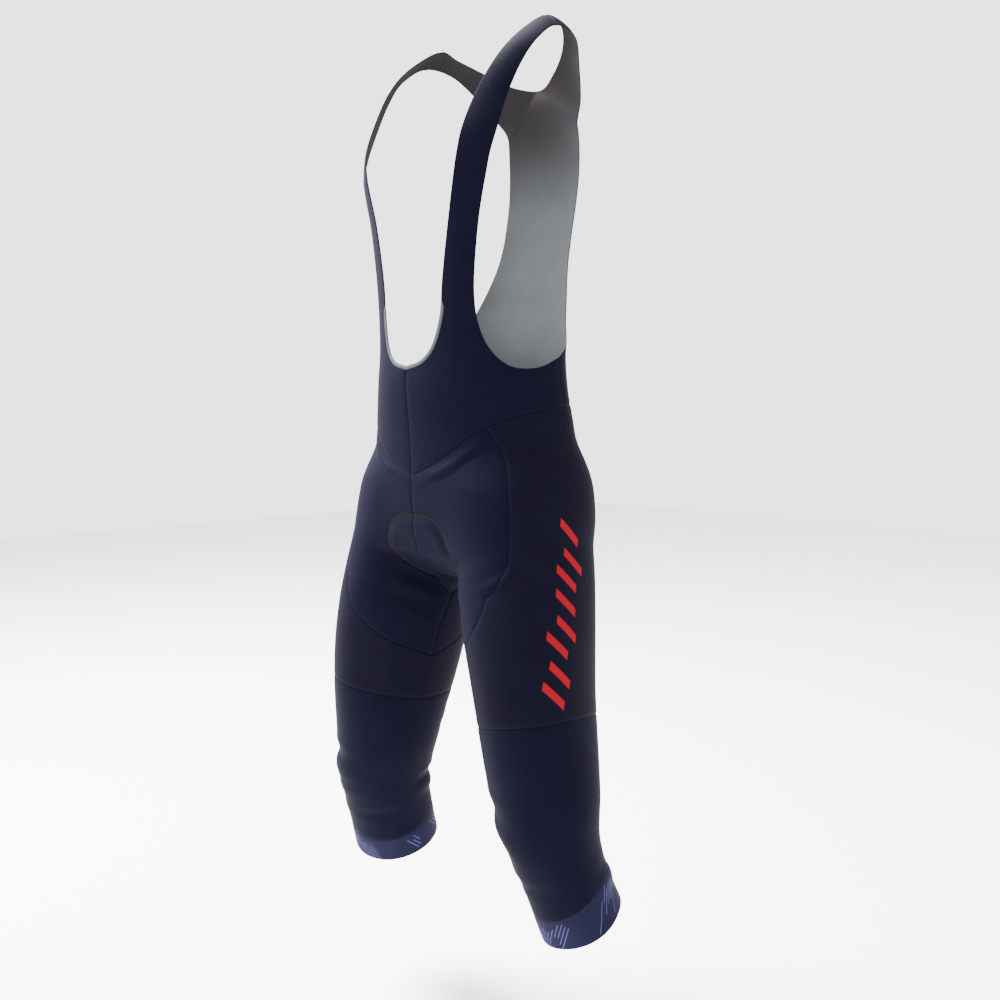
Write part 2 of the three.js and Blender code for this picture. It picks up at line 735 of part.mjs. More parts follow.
// Levels of the thigh rows: closer together around the crotch, and one through it.
const THIGH_LEVELS = [
  YOKE_LEVEL, -515, -540, -566,
  ...PAD.map(({ above }) => CROTCH_Z + above),
  -744, -764, -784, THIGH_POINT,
];
const PAD_TOP = CROTCH_Z + PAD[0].above;
const PAD_END = CROTCH_Z + PAD[PAD.length - 1].above;
const underPad = (level) => level <= PAD_TOP && level >= PAD_END;

// Half width of the pad at a level, exactly zero at and beyond its tips.
function padWidth(level, side) {
  if (!underPad(level)) return 0;
  const width = readTable(PAD, 'above', level - CROTCH_Z, side);
  return width < 0.01 ? 0 : width;
}

// Rows of a thigh panel in two strips: the one that carries half of the pad, from the
// centre seam or the inseam, and the rest of the panel as far as its long seam.
function thighRows(centre, side, seamAt, yokeSteps) {
  const towards = centre ? -1 : 1;
  return THIGH_LEVELS.map((level, index) => {
    const width = padWidth(level, side);
    const edge = centre + towards * width;
    const end = level === THIGH_POINT ? edge : seamAt(level);
    const steps = level === THIGH_POINT ? 0 : index ? null : yokeSteps;
    return {
      level,
      pad: legRow(centre, edge, level, width ? PAD_STEPS : 0),
      rest: legRow(edge, end, level, steps),
    };
  }).reverse();
}

const turnedRound = (rows) => rows.map((line) => [...line].reverse());
const frontRowsOfThigh = thighRows(0, 'front', frontSeam, YOKE_STEPS.front);
const seatRowsOfThigh = thighRows(1, 'back', backSeam, YOKE_STEPS.seat);

function frontThighSheet() {
  return new Sheet()
    .rows(frontRowsOfThigh.map((line) => line.pad))
    .rows(frontRowsOfThigh.map((line) => line.rest));
}

function seatSheet() {
  return new Sheet()
    .rows(turnedRound(seatRowsOfThigh.map((line) => line.pad)))
    .rows(turnedRound(seatRowsOfThigh.map((line) => line.rest)));
}

// The pad lies inside the four panels and has their own facets.
function padSheet() {
  const covered = (rows) => rows.filter((line) => underPad(line.level)).map((line) => line.pad);
  const half = new Sheet()
    .rows(covered(frontRowsOfThigh))
    .rows(turnedRound(covered(seatRowsOfThigh)));
  return half.add(half.mirrored());
}

function sideThighSheet() {
  const top = yokeKnots([
    { start: FRONT_AT_YOKE, end: YOKE_SIDE_ROUND, steps: YOKE_STEPS.sideFront },
    { start: YOKE_SIDE_ROUND, end: BACK_AT_YOKE, steps: YOKE_STEPS.sideBack },
  ]);
  const middle = THIGH_LEVELS.slice(1).map((level) => legRow(frontSeam(level), backSeam(level), level));
  const low = legRow(0, 1, (THIGH_POINT + KNEE_LEVEL) / 2);
  return new Sheet().rows([top, ...middle, low, legRow(0, 1, KNEE_LEVEL, KNEE_STEPS)].reverse());
}

const KNEE_STEPS = 18;
const CUFF_STEPS = 16;

function kneeSheet() {
  const count = Math.round((KNEE_LEVEL - CUFF_LEVEL) / CELL);
  const rows = Array.from({ length: count + 1 }, (_, index) => {
    const steps = Math.round(mix(KNEE_STEPS, CUFF_STEPS, index / count));
    return legRow(0, 1, mix(KNEE_LEVEL, CUFF_LEVEL, index / count), steps);
  });
  return new Sheet().rows(rows.reverse());
}

function cuffSheet() {
  const rows = [CUFF_LEVEL, (CUFF_LEVEL + HEM_LEVEL) / 2, HEM_LEVEL]
    .map((level) => legRow(0, 1, level, CUFF_STEPS));
  return new Sheet().rows(rows.reverse());
}

// ---------------------------------------------------------------- the model

const FINISHES = {
  navy: { color: 0x20223a, roughness: 0.62 },
  dark: { color: 0x1d1c2c, roughness: 0.66 },
  cuff: { color: 0x2c2f4d, roughness: 0.6 },
  grey: { color: 0x7d8183, roughness: 0.8 },
  pad: { color: 0x33364a, roughness: 0.9 },
};

const model = new THREE.Group();

function addMesh(name, finish, sheet, outer = 0, inner = CLOTH) {
  const material = new THREE.MeshStandardMaterial({ ...FINISHES[finish], metalness: 0 });
  const mesh = new THREE.Mesh(solidGeometry(sheet, outer, inner), material);
  mesh.name = name;
  model.add(mesh);
}

function addPair(name, finish, sheet, outer, inner) {
  addMesh(`${name}_left`, finish, sheet, outer, inner);
  addMesh(`${name}_right`, finish, sheet.mirrored(), outer, inner);
}

addPair('bib_front', 'navy', bibFrontSheet());
addMesh('bib_back', 'navy', bibBackSheet());
addPair('front_thigh', 'navy', frontThighSheet());
addPair('side_thigh', 'dark', sideThighSheet());
addPair('seat', 'navy', seatSheet());
addPair('knee', 'navy', kneeSheet());
addPair('cuff', 'cuff', cuffSheet());
addMesh('seat_pad', 'pad', padSheet(), CLOTH + SEAM_GAP, CLOTH + SEAM_GAP + PAD_DEPTH);
const binding = new Sheet().rows(bindingSheet());
addMesh('neck_binding', 'grey', binding.add(binding.mirrored()), -BINDING_PROUD, CLOTH + BINDING_PROUD);

export default model;
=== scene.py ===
"""Three-quarter cycling bib tights, standing open in the shape they take when worn.

The shapes are worked out in millimetres on one hollow form, a trunk and two legs made of
ovals, and become metres as each mesh is made. The wearer faces -Y and their left is +X.
"""

import bmesh
import bpy
import numpy as np
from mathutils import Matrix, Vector


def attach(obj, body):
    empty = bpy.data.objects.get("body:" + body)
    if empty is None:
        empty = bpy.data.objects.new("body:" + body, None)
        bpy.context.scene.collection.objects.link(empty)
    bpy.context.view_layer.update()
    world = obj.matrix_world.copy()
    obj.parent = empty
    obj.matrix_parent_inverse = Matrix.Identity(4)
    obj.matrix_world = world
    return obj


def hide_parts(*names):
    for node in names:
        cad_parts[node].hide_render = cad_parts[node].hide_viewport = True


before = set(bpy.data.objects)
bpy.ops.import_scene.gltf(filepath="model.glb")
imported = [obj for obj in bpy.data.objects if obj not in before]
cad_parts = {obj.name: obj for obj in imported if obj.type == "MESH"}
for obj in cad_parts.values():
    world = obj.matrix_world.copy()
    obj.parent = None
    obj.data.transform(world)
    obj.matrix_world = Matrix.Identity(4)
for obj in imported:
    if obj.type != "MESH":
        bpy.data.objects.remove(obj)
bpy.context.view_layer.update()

# -------- sizes of the form

MM = 0.001             # one millimetre in metres
TRUNK_Y = -18.0        # depth position of the trunk's upright axis
CROTCH_BLEND = 100.0   # rounding between the two thighs
HIP_BLEND = 40.0       # rounding between the trunk and the thighs
TRUNK_END = -645.0     # height below which the trunk closes
TRUNK_END_SLOPE = 1.6
TIP_ROUNDING = 0.2     # rounds the tips where the trunk and the legs close
LEG_START = -570.0     # height above which the legs fade out
LEG_START_CURVE = 0.008
AXIS_TOP = -430.0      # ray centres move from the trunk's axis to the leg's below here
AXIS_RUN = 120.0       # over this height
CROTCH_RUN = 90.0      # within this height of the crotch they move to its depth position
CHEST_CROWN = 1.3      # bow across the strap's width where it leaves the chest
STRAP_CROWN = 2.0      # and over the shoulder

TRUNK = [
    # z, y, side, front, back, power
    (-60, 0, 164, 124, 108, 2.4),
    (-110, 0, 165, 129, 122, 2.2),
    (-170, 0, 165, 132, 123, 2.2),
    (-240, 0, 152, 124, 112, 2.2),
    (-320, 0, 140, 120, 92, 2.2),
    (-390, 0, 133, 121, 74, 2.2),
    (-440, 0, 137, 123, 72, 2.2),
    (-490, 0, 145, 119, 79, 2.25),
    (-550, 0, 151, 115, 88, 2.3),
    (-610, -4, 147, 106, 96, 2.3),
    (-655, -12, 108, 84, 88, 2.2),
    (-690, -18, 60, 58, 66, 2.0),
]

LEG = [
    # z, girth, how much deeper than wide, y of the axis
    (-470, 420, 1.2, 0),
    (-560, 500, 1.2, -12),
    (-650, 540, 1.2, -20),
    (-730, 540, 1.25, -28),
    (-820, 500, 1.3, -33),
    (-930, 430, 1.1, -36),
    (-990, 380, 1.15, -34),
    (-1050, 360, 1.15, -14),
    (-1100, 370, 1.1, 4),
    (-1150, 370, 1.1, 22),
]
HIP_OUT = 74.0         # how far out the leg's axis starts, at the hip
LEG_LEAN = 0.18        # how far out it moves for each millimetre down
TURN_OUT = 18.0        # turn of the leg's section outward, in degrees
TURN_RUN = 330.0       # the turn is reached this far below the first row
LEG_POWER = 2.1        # power of the leg's oval: 2 is an ellipse

STRAP = [
    # inner edge x, y, z, outer edge x, y, z, from the breast to the shoulder blade
    (92, -129, -143, 125, -104, -146),
    (96, -111, -102, 125, -87, -104),
    (101, -84, -58, 127, -66, -64),
    (103, -50, -23, 129, -42, -33),
    (99, 0, 9, 124, -6, -10),
    (97, 30, 3, 116, 36, -14),
    (74, 57, -14, 97, 64, -42),
    (42, 74, -34, 79, 86, -73),  # this outer edge stands a little inside the solid's
]
STRAP_TOP_ROW = 5      # where the front and back straps meet, counted from the chest row

BIB_EDGES = [
    # row, inner turn, inner z, outer turn, outer z, sag: turns in degrees from the front
    (0, 0, -415, 94, -405, 40),
    (1, 12, -408, 78, -418, 18),
    (2, 20, -390, 62, -415, 4),
    (3, 25, -355, 50, -385, 0),
    (4, 27, -310, 45, -335, 0),
    (5, 31, -250, 47, -255, 0),
    (6, 36.5, -178, 52, -178, 0),
]
ROW_STEP = 0.5         # part of a row looked ahead or back to find an edge's direction
ROUND_LENGTH = 400.0   # half the way round the trunk, near enough
BINDING_ROWS = 3.5     # the neck binding runs up this many rows
BINDING_TAPER = 0.3    # rows over which it narrows at its ends
BINDING_WIDTH = 5.0
BINDING_THICK = 3.0
TAPE_SIDES = 24        # sides of the binding's oval section
TAPE_GIRTH = 2.4       # its girth in the binding's widths, roughly

BACK_EDGES = [
    # row, outer turn, outer z, z at the centre back
    (0, 94, -405, -415),
    (1, 115, -375, -380),
    (2, 130, -335, -335),
    (3, 145, -270, -265),
    (4, 150, -195, -185),
    (5, 150, -100, -45),
]

YOKE = [
    # way round, z
    (0, -550),
    (0.25, -490),
    (0.5, -465),
    (1, -455),
]
SIDE_ROUND = 94 / 180  # way round of the side seam
YOKE_LEVEL = -490.0    # level of the legs' first row, which follows the yoke
LEVEL_OUT = -640.0     # level at which the leg rows have become horizontal

THIGH_SEAMS = [
    # level, front seam, back seam, as ways round the leg
    (-490, 0.25, 0.7),
    (-530, 0.28, 0.7),
    (-640, 0.3, 0.71),
    (-720, 0.26, 0.76),
    (-770, 0.15, 0.86),
    (-800, 0, 1),
]
THIGH_POINT = -800.0   # level of the lower points of the front and seat panels

TILT = [
    # level, how much lower the front is, how much higher the outside is
    (-800, 0, 0),
    (-845, -5, 15),
    (-940, 10, 15),
    (-1050, 25, 15),
    (-1090, 20, 10),
]
KNEE_LEVEL = -845.0    # seam above the knee
CUFF_LEVEL = -1050.0   # seam of the cuff
HEM_LEVEL = -1090.0    # free edge of the cuff

CLOTH = 1.8          # thickness of the cloth
GAP = 0.005          # how far each panel stops short of a seam line: no light shows between
CELL = 3.2           # mesh spacing down the legs
CUFF_CELL = 2.5      # and down the cuffs


# -------- reading the tables

def read(table, key):
    """Smooth cubic through the rows of a table: value columns at each key, ends held."""
    rows = np.array(table, float)
    if rows[0, 0] > rows[-1, 0]:
        rows = rows[::-1]
    keys = rows[:, 0]
    last = len(keys) - 1
    at = np.clip(np.asarray(key, float), keys[0], keys[-1])
    i = np.clip(np.searchsorted(keys, at) - 1, 0, last - 1)
    low = np.maximum(np.arange(last + 1) - 1, 0)
    high = np.minimum(np.arange(last + 1) + 1, last)
    slope = (rows[high] - rows[low]) / (keys[high] - keys[low])[:, None]
    run = (keys[i + 1] - keys[i])[..., None]
    t = (at - keys[i])[..., None] / run
    value = (
        rows[i] * (1 + 2 * t) * (1 - t) ** 2
        + rows[i + 1] * t * t * (3 - 2 * t)
        + slope[i] * run * t * (1 - t) ** 2
        + slope[i + 1] * run * t * t * (t - 1)
    )
    return [value[..., column] for column in range(1, rows.shape[1])]


def smooth(t):
    """Rise from 0 to 1 as t goes from 0 to 1, level at both ends."""
    t = np.clip(t, 0, 1)
    return t * t * (3 - 2 * t)


def mix(a, b, t):
    return a + (b - a) * t


def unit(v):
    return v / np.maximum(np.linalg.norm(v, axis=-1, keepdims=True), 1e-9)


# -------- the hollow form

def oval(x, y, side, front, back, power):
    """Rough distance from an oval: its reach less one, times its smaller mean radius."""
    depth = np.where(y < 0, front, back)
    total = (np.abs(x) / side) ** power + (np.abs(y) / depth) ** power
    reach = np.hypot(total ** (1 / power), TIP_ROUNDING) - np.hypot(1, TIP_ROUNDING)
    return reach * np.minimum(side, (front + back) / 2)


def blend_min(a, b, width):
    """The lower of two distances, rounded off where they differ by less than the width."""
    part = np.clip(0.5 + 0.5 * (b - a) / width, 0, 1)
    return mix(b, a, part) - width * part * (1 - part)


def leg_oval(z):
    """Axis x and y, half width, half depth and outward turn of the leg at a height.

    An ellipse's girth is about 2 pi times the root mean square of its half widths.
    """
    girth, deep, y = read(LEG, z)
    down = np.maximum(0, LEG[0][0] - z)
    side = girth / (2 * np.pi) * np.sqrt(2 / (1 + deep**2))
    turn = np.radians(TURN_OUT) * smooth(down / TURN_RUN)
    return HIP_OUT + LEG_LEAN * down, y, side, side * deep, turn


def limb(x, y, leg):
    """Rough distance from one leg, whose oval is turned about its axis."""
    cx, cy, side, depth, turn = leg
    dx, dy = x - cx, y - cy
    across = dx * np.cos(turn) + dy * np.sin(turn)
    forward = dy * np.cos(turn) - dx * np.sin(turn)
    return oval(across, forward, side, depth, depth, LEG_POWER)


def form(x, y, z):
    """Below zero inside the figure: trunk and legs, rounded into each other."""
    shift, side, front, back, power = read(TRUNK, z)
    depth = y - TRUNK_Y
    trunk = oval(x, depth - shift, side, front, back, power)
    trunk = trunk + np.maximum(0, TRUNK_END - z) * TRUNK_END_SLOPE
    leg = leg_oval(z)
    legs = blend_min(limb(x, depth, leg), limb(-x, depth, leg), CROTCH_BLEND)
    legs = legs + np.maximum(0, z - LEG_START) ** 2 * LEG_START_CURVE
    return blend_min(trunk, legs, HIP_BLEND)


def form_normal(point):
    """Outward direction: the slope of the form along x, y and z."""
    step = 0.05
    x, y, z = (point[..., axis] for axis in range(3))
    slope = [
        form(x + step, y, z) - form(x - step, y, z),
        form(x, y + step, z) - form(x, y - step, z),
        form(x, y, z + step) - form(x, y, z - step),
    ]
    return unit(np.stack(slope, -1))


def ray(x, y, z, dx, dy):
    """Distance to the surface along a level direction, never past x = 0, by halving."""
    low = np.zeros_like(z)
    safe = np.where(dx < -1e-9, dx, -1.0)
    high = np.where(dx < -1e-9, np.minimum(400.0, -x / safe), 400.0)
    for _ in range(34):
        middle = (low + high) / 2
        inside = form(x + dx * middle, y + dy * middle, z) < 0
        low = np.where(inside, middle, low)
        high = np.where(inside, high, middle)
    return (low + high) / 2


def deepest_y(z):
    """Depth position of the deepest point of the form in the plane x = 0."""
    low = np.full_like(z, -100.0)
    high = np.full_like(z, 40.0)
    for _ in range(40):
        third = (high - low) / 3
        nearer = form(0 * z, low + third, z) < form(0 * z, high - third, z)
        high = np.where(nearer, high - third, high)
        low = np.where(nearer, low, low + third)
    return (low + high) / 2


def find_crotch():
    """Depth position and height of the lowest point of the form in the plane x = 0."""
    low, high = -800.0, -560.0
    for _ in range(40):
        middle = np.array([(low + high) / 2])
        if form(np.zeros(1), deepest_y(middle), middle)[0] < 0:
            high = middle[0]
        else:
            low = middle[0]
    return deepest_y(np.array([low]))[0], low


CROTCH_Y, CROTCH_Z = find_crotch()


def ray_centre(z):
    """Where the rays of a height start: on the trunk's axis, and lower down on the leg's."""
    leg = leg_oval(z)
    shift = smooth((AXIS_TOP - z) / AXIS_RUN)
    near = smooth(1 - np.abs(z - CROTCH_Z) / CROTCH_RUN)
    return leg[0] * shift, mix(TRUNK_Y + leg[1] * shift, CROTCH_Y, near)


def on_form(way, z):
    """Points of the left half: way 0 is the centre front, 0.5 the side, 1 the back.

    A level ray leaves the leg's (or trunk's) axis at the turn that the way stands for, and
    the point is where it meets the form. Below the crotch 0 and 1 are the inseam.
    """
    way, z = np.broadcast_arrays(np.asarray(way, float), np.asarray(z, float))
    way, z = way.copy(), z.copy()
    x, y = ray_centre(z)
    levels, which = np.unique(np.round(z, 6), return_inverse=True)
    which = which.reshape(z.shape)
    held = np.maximum(levels, CROTCH_Z + 1e-6)
    middle = deepest_y(held)
    none = 0 * held
    front = (middle - ray(none, middle, held, none, none - 1))[which]
    back = (middle + ray(none, middle, held, none, none + 1))[which]
    above = z > CROTCH_Z
    start = np.where(above, np.arctan2(y - front, -x), np.pi) % (2 * np.pi)
    end = np.where(above, np.arctan2(back - y, -x), np.pi) % (2 * np.pi)
    turn = (start + end) * way - start
    dx, dy = np.cos(turn), np.sin(turn)
    length = ray(x, y, z, dx, dy)
    px = np.where(above & ((way < 1e-9) | (way > 1 - 1e-9)), 0.0, x + dx * length)
    return np.stack([px, y + dy * length, z], -1)


def leg_z(way, level):
    """Height of a leg row: along the yoke at the top, leaning with the shin below."""
    fade = smooth((level - LEVEL_OUT) / (YOKE_LEVEL - LEVEL_OUT))
    yoke = (read(YOKE, way)[0] - YOKE_LEVEL) * fade
    front, side = read(TILT, level)
    return level + yoke - front * np.sin(2 * np.pi * way) - side * np.cos(2 * np.pi * way)


# -------- creases

def bent_line(points, count=14):
    """Smooth line through a few points, as short straight stretches."""
    table = [(key, *point) for key, point in enumerate(points)]
    return np.stack(read(table, np.linspace(0, len(points) - 1, count)), -1)


def near_line(points, line):
    """Distance of each point from a line of stretches, and how far along it that is."""
    best = np.full(points.shape[:-1], np.inf)
    along = np.zeros(points.shape[:-1])
    stretches = len(line) - 1
    for index in range(stretches):
        a, b = line[index], line[index + 1]
        step = b - a
        t = np.clip(((points - a) @ step) / max(step @ step, 1e-9), 0, 1)
        distance = np.linalg.norm(points - (a + t[..., None] * step), axis=-1)
        closer = distance < best
        best = np.where(closer, distance, best)
        along = np.where(closer, (index + t) / stretches, along)
    return best, along


CREASES = [
    # side, way and z of the start, middle and end, width, depth (below zero: a ridge)
    # below the knees: a soft swell between two troughs
    (1, 0.0, -944, 0.13, -938, 0.28, -948, 10, 1.8),
    (1, 0.02, -976, 0.14, -968, 0.26, -980, 12, -3.2),
    (1, 0.0, -1006, 0.13, -1000, 0.26, -1008, 10, 1.2),
    (-1, 0.18, -948, 0.35, -942, 0.52, -950, 9, 2.0),
    (-1, 0.18, -974, 0.36, -968, 0.52, -976, 12, -2.6),
    (-1, 0.18, -1018, 0.36, -1012, 0.52, -1018, 12, 1.6),
    # behind the knees
    (1, 0.66, -880, 0.78, -890, 0.92, -884, 9, 1.8),
    (1, 0.68, -912, 0.8, -922, 0.94, -914, 8, 1.6),
    (1, 0.66, -942, 0.76, -950, 0.88, -944, 9, 1.2),
    (-1, 0.6, -874, 0.72, -886, 0.88, -880, 9, 1.6),
    (-1, 0.62, -906, 0.75, -918, 0.9, -908, 8, 1.6),
    (-1, 0.6, -940, 0.72, -946, 0.84, -940, 9, 1.2),
    # over the calf and above the cuffs
    (1, 0.5, -1036, 0.62, -1030, 0.76, -1038, 10, -2.0),
    (1, 0.1, -1028, 0.24, -1034, 0.4, -1026, 8, 1.0),
    (-1, 0.74, -984, 0.87, -981, 0.98, -986, 7, 2.2),
    (-1, 0.74, -1004, 0.87, -1000, 0.98, -1005, 8, -2.0),
    (-1, 0.02, -1030, 0.16, -1036, 0.3, -1030, 8, 1.0),
    # from the crotch over the thighs
    (1, 0.02, -716, 0.1, -690, 0.2, -664, 9, 1.3),
    (1, 0.03, -742, 0.12, -722, 0.22, -704, 9, 1.1),
    (-1, 0.02, -712, 0.1, -688, 0.2, -660, 9, 1.4),
    (-1, 0.03, -738, 0.12, -716, 0.24, -698, 9, 1.1),
    (1, 0.97, -722, 0.9, -704, 0.8, -692, 9, 1.4),
    (-1, 0.97, -720, 0.9, -702, 0.8, -690, 9, 1.4),
    # a short pull beside the thigh seam
    (1, 0.23, -690, 0.29, -668, 0.33, -650, 6, -1.0),
    # under the yoke: a soft ridge along it, and puckers
    (1, 0.012, -560, 0.12, -532, 0.24, -502, 6, -1.3),
    (-1, 0.012, -560, 0.12, -532, 0.24, -502, 6, -1.2),
    (1, 0.04, -552, 0.1, -540, 0.16, -528, 5, -1.1),
    (1, 0.14, -526, 0.19, -517, 0.24, -508, 5, -0.9),
    (-1, 0.05, -550, 0.11, -537, 0.17, -524, 5, -1.0),
    # at the waist
    (1, 0.4, -448, 0.47, -438, 0.54, -436, 8, 0.8),
    (-1, 0.4, -446, 0.48, -438, 0.56, -434, 8, 0.8),
]


def crease_lines():
    """Each crease as a line on the form, with its width and depth."""
    made = []
    for side, w0, z0, w1, z1, w2, z2, width, depth in CREASES:
        spots = on_form([w0, w1, w2], [z0, z1, z2])
        made.append((bent_line(spots * [side, 1, 1]), width, depth))
    return made


CREASE_LINES = crease_lines()


SWELL_SHARE = 0.35     # the cloth rises beside a crease by this share of its depth
SWELL_AT = 1.7         # this many widths from its middle
SWELL_SPREAD = 0.5     # how broad that rise is
CREASE_FADE = 0.8      # power of the sine along a crease: less is blunter at the ends
CREASE_REACH = 3       # a panel this many widths away isn't touched


def creased(points, normals, side):
    """Moves points in by the troughs and out by the ridges that pass near them.

    Across a crease its depth is a bell curve, less a lower one to either side. Along it
    the depth follows a blunt sine from end to end.
    """
    shift = np.zeros(points.shape[:-1])
    placed = points * [side, 1, 1]
    for line, width, depth in CREASE_LINES:
        reach = CREASE_REACH * width
        low, high = line.min(0) - reach, line.max(0) + reach
        if not ((placed >= low) & (placed <= high)).all(-1).any():
            continue
        distance, along = near_line(placed, line)
        across = distance / width
        swell = SWELL_SHARE * np.exp(-((across - SWELL_AT) ** 2) / SWELL_SPREAD)
        fade = np.sin(np.pi * np.clip(along, 0, 1)) ** CREASE_FADE
        shift -= depth * (np.exp(-across**2) - swell) * fade
    return points + normals * shift[..., None]


PAD = [
    # above the crotch, half width in front and behind as ways round
    (110, 0, 0),
    (105, 0.025, 0),
    (95, 0.045, 0),
    (80, 0.065, 0.05),
    (60, 0.08, 0.08),
    (40, 0.085, 0.09),
    (24, 0.08, 0.085),
    (12, 0.07, 0.07),
    (0, 0.055, 0.05),
    (-12, 0.035, 0.035),
    (-26, 0, 0),
]
PAD_PUFF = 3.0       # how far the cloth stands out over the pad
PAD_GROOVE = 1.2     # how far the stitching round the pad pulls it in
PAD_SLOPE = 14.0     # the cloth rises over this distance inside the outline
GROOVE_RUN = 1.6     # half width of the stitching's groove


def pad_distance(points, way, level, behind):
    """Distance of panel points from the pad's outline, below zero over the pad."""
    above = np.linspace(PAD[0][0], PAD[-1][0], 60)
    half_width = np.maximum(read(PAD, above)[1 if behind else 0], 0)
    edge_way = 1 - half_width if behind else half_width
    edge = on_form(edge_way, leg_z(edge_way, CROTCH_Z + above))
    distance = near_line(points, edge)[0]
    reach = np.maximum(read(PAD, level - CROTCH_Z)[1 if behind else 0], 0)
    high, low = CROTCH_Z + PAD[0][0], CROTCH_Z + PAD[-1][0]
    away = 1 - way if behind else way
    over = (away < reach) & (level < high) & (level > low)
    return np.where(over, -distance, distance)


def over_pad(points, normals, distance):
    """Moves points out by the pad's swell and in by a groove along its outline."""
    rise = PAD_PUFF * smooth(-distance / PAD_SLOPE)
    groove = PAD_GROOVE * np.exp(-((distance / GROOVE_RUN) ** 2))
    return points + normals * (rise - groove)[..., None]


# -------- meshes

def lengths(points, axis):
    """Running length along one axis of a grid of points, starting at zero."""
    steps = np.linalg.norm(np.diff(points, axis=axis), axis=-1)
    first = np.zeros_like(np.take(points, [0], axis=axis)[..., 0])
    return np.concatenate([first, np.cumsum(steps, axis=axis)], axis=axis)


EDGE_LINES = (0.6, 2.0)  # extra lines of mesh about this far from an edge


def spread(count, total):
    """Parts from 0 to 1 of a total length, with extra lines close to both ends."""
    inner = np.linspace(0, 1, count + 1)[1:-1]
    near = [0.0, *[end / total for end in EDGE_LINES]]
    far = [1 - value for value in near[::-1]]
    keep = inner[(inner > near[-1] * 1.5) & (inner < far[0] - near[-1] * 0.5)]
    return np.array([*near, *keep, *far])


def cells(grid):
    """The four corners of each cell of a grid, in order round the cell."""
    corners = [grid[:-1, :-1], grid[:-1, 1:], grid[1:, 1:], grid[1:, :-1]]
    return np.stack([corner.reshape(-1, *grid.shape[2:]) for corner in corners], 1)


def by_row(kind, rows):
    """An edge's kind for every row: one kind, or (kind below a row, the row, kind above)."""
    if isinstance(kind, str):
        return np.array([kind] * rows)
    before, row, after = kind
    return np.array([before] * row + [after] * (rows - row))


SEAM_DIP = 0.8       # how far the cloth dips into a seam
SEAM_RUN = 2.2       # over this distance from it
EDGE_RUN = 2.0       # the cloth beside an edge moves in with it, fading over this distance
RIM_STEPS = 3        # rows of mesh between the two faces, round an edge
FAR = 1e3            # stands for no seam or mark nearby


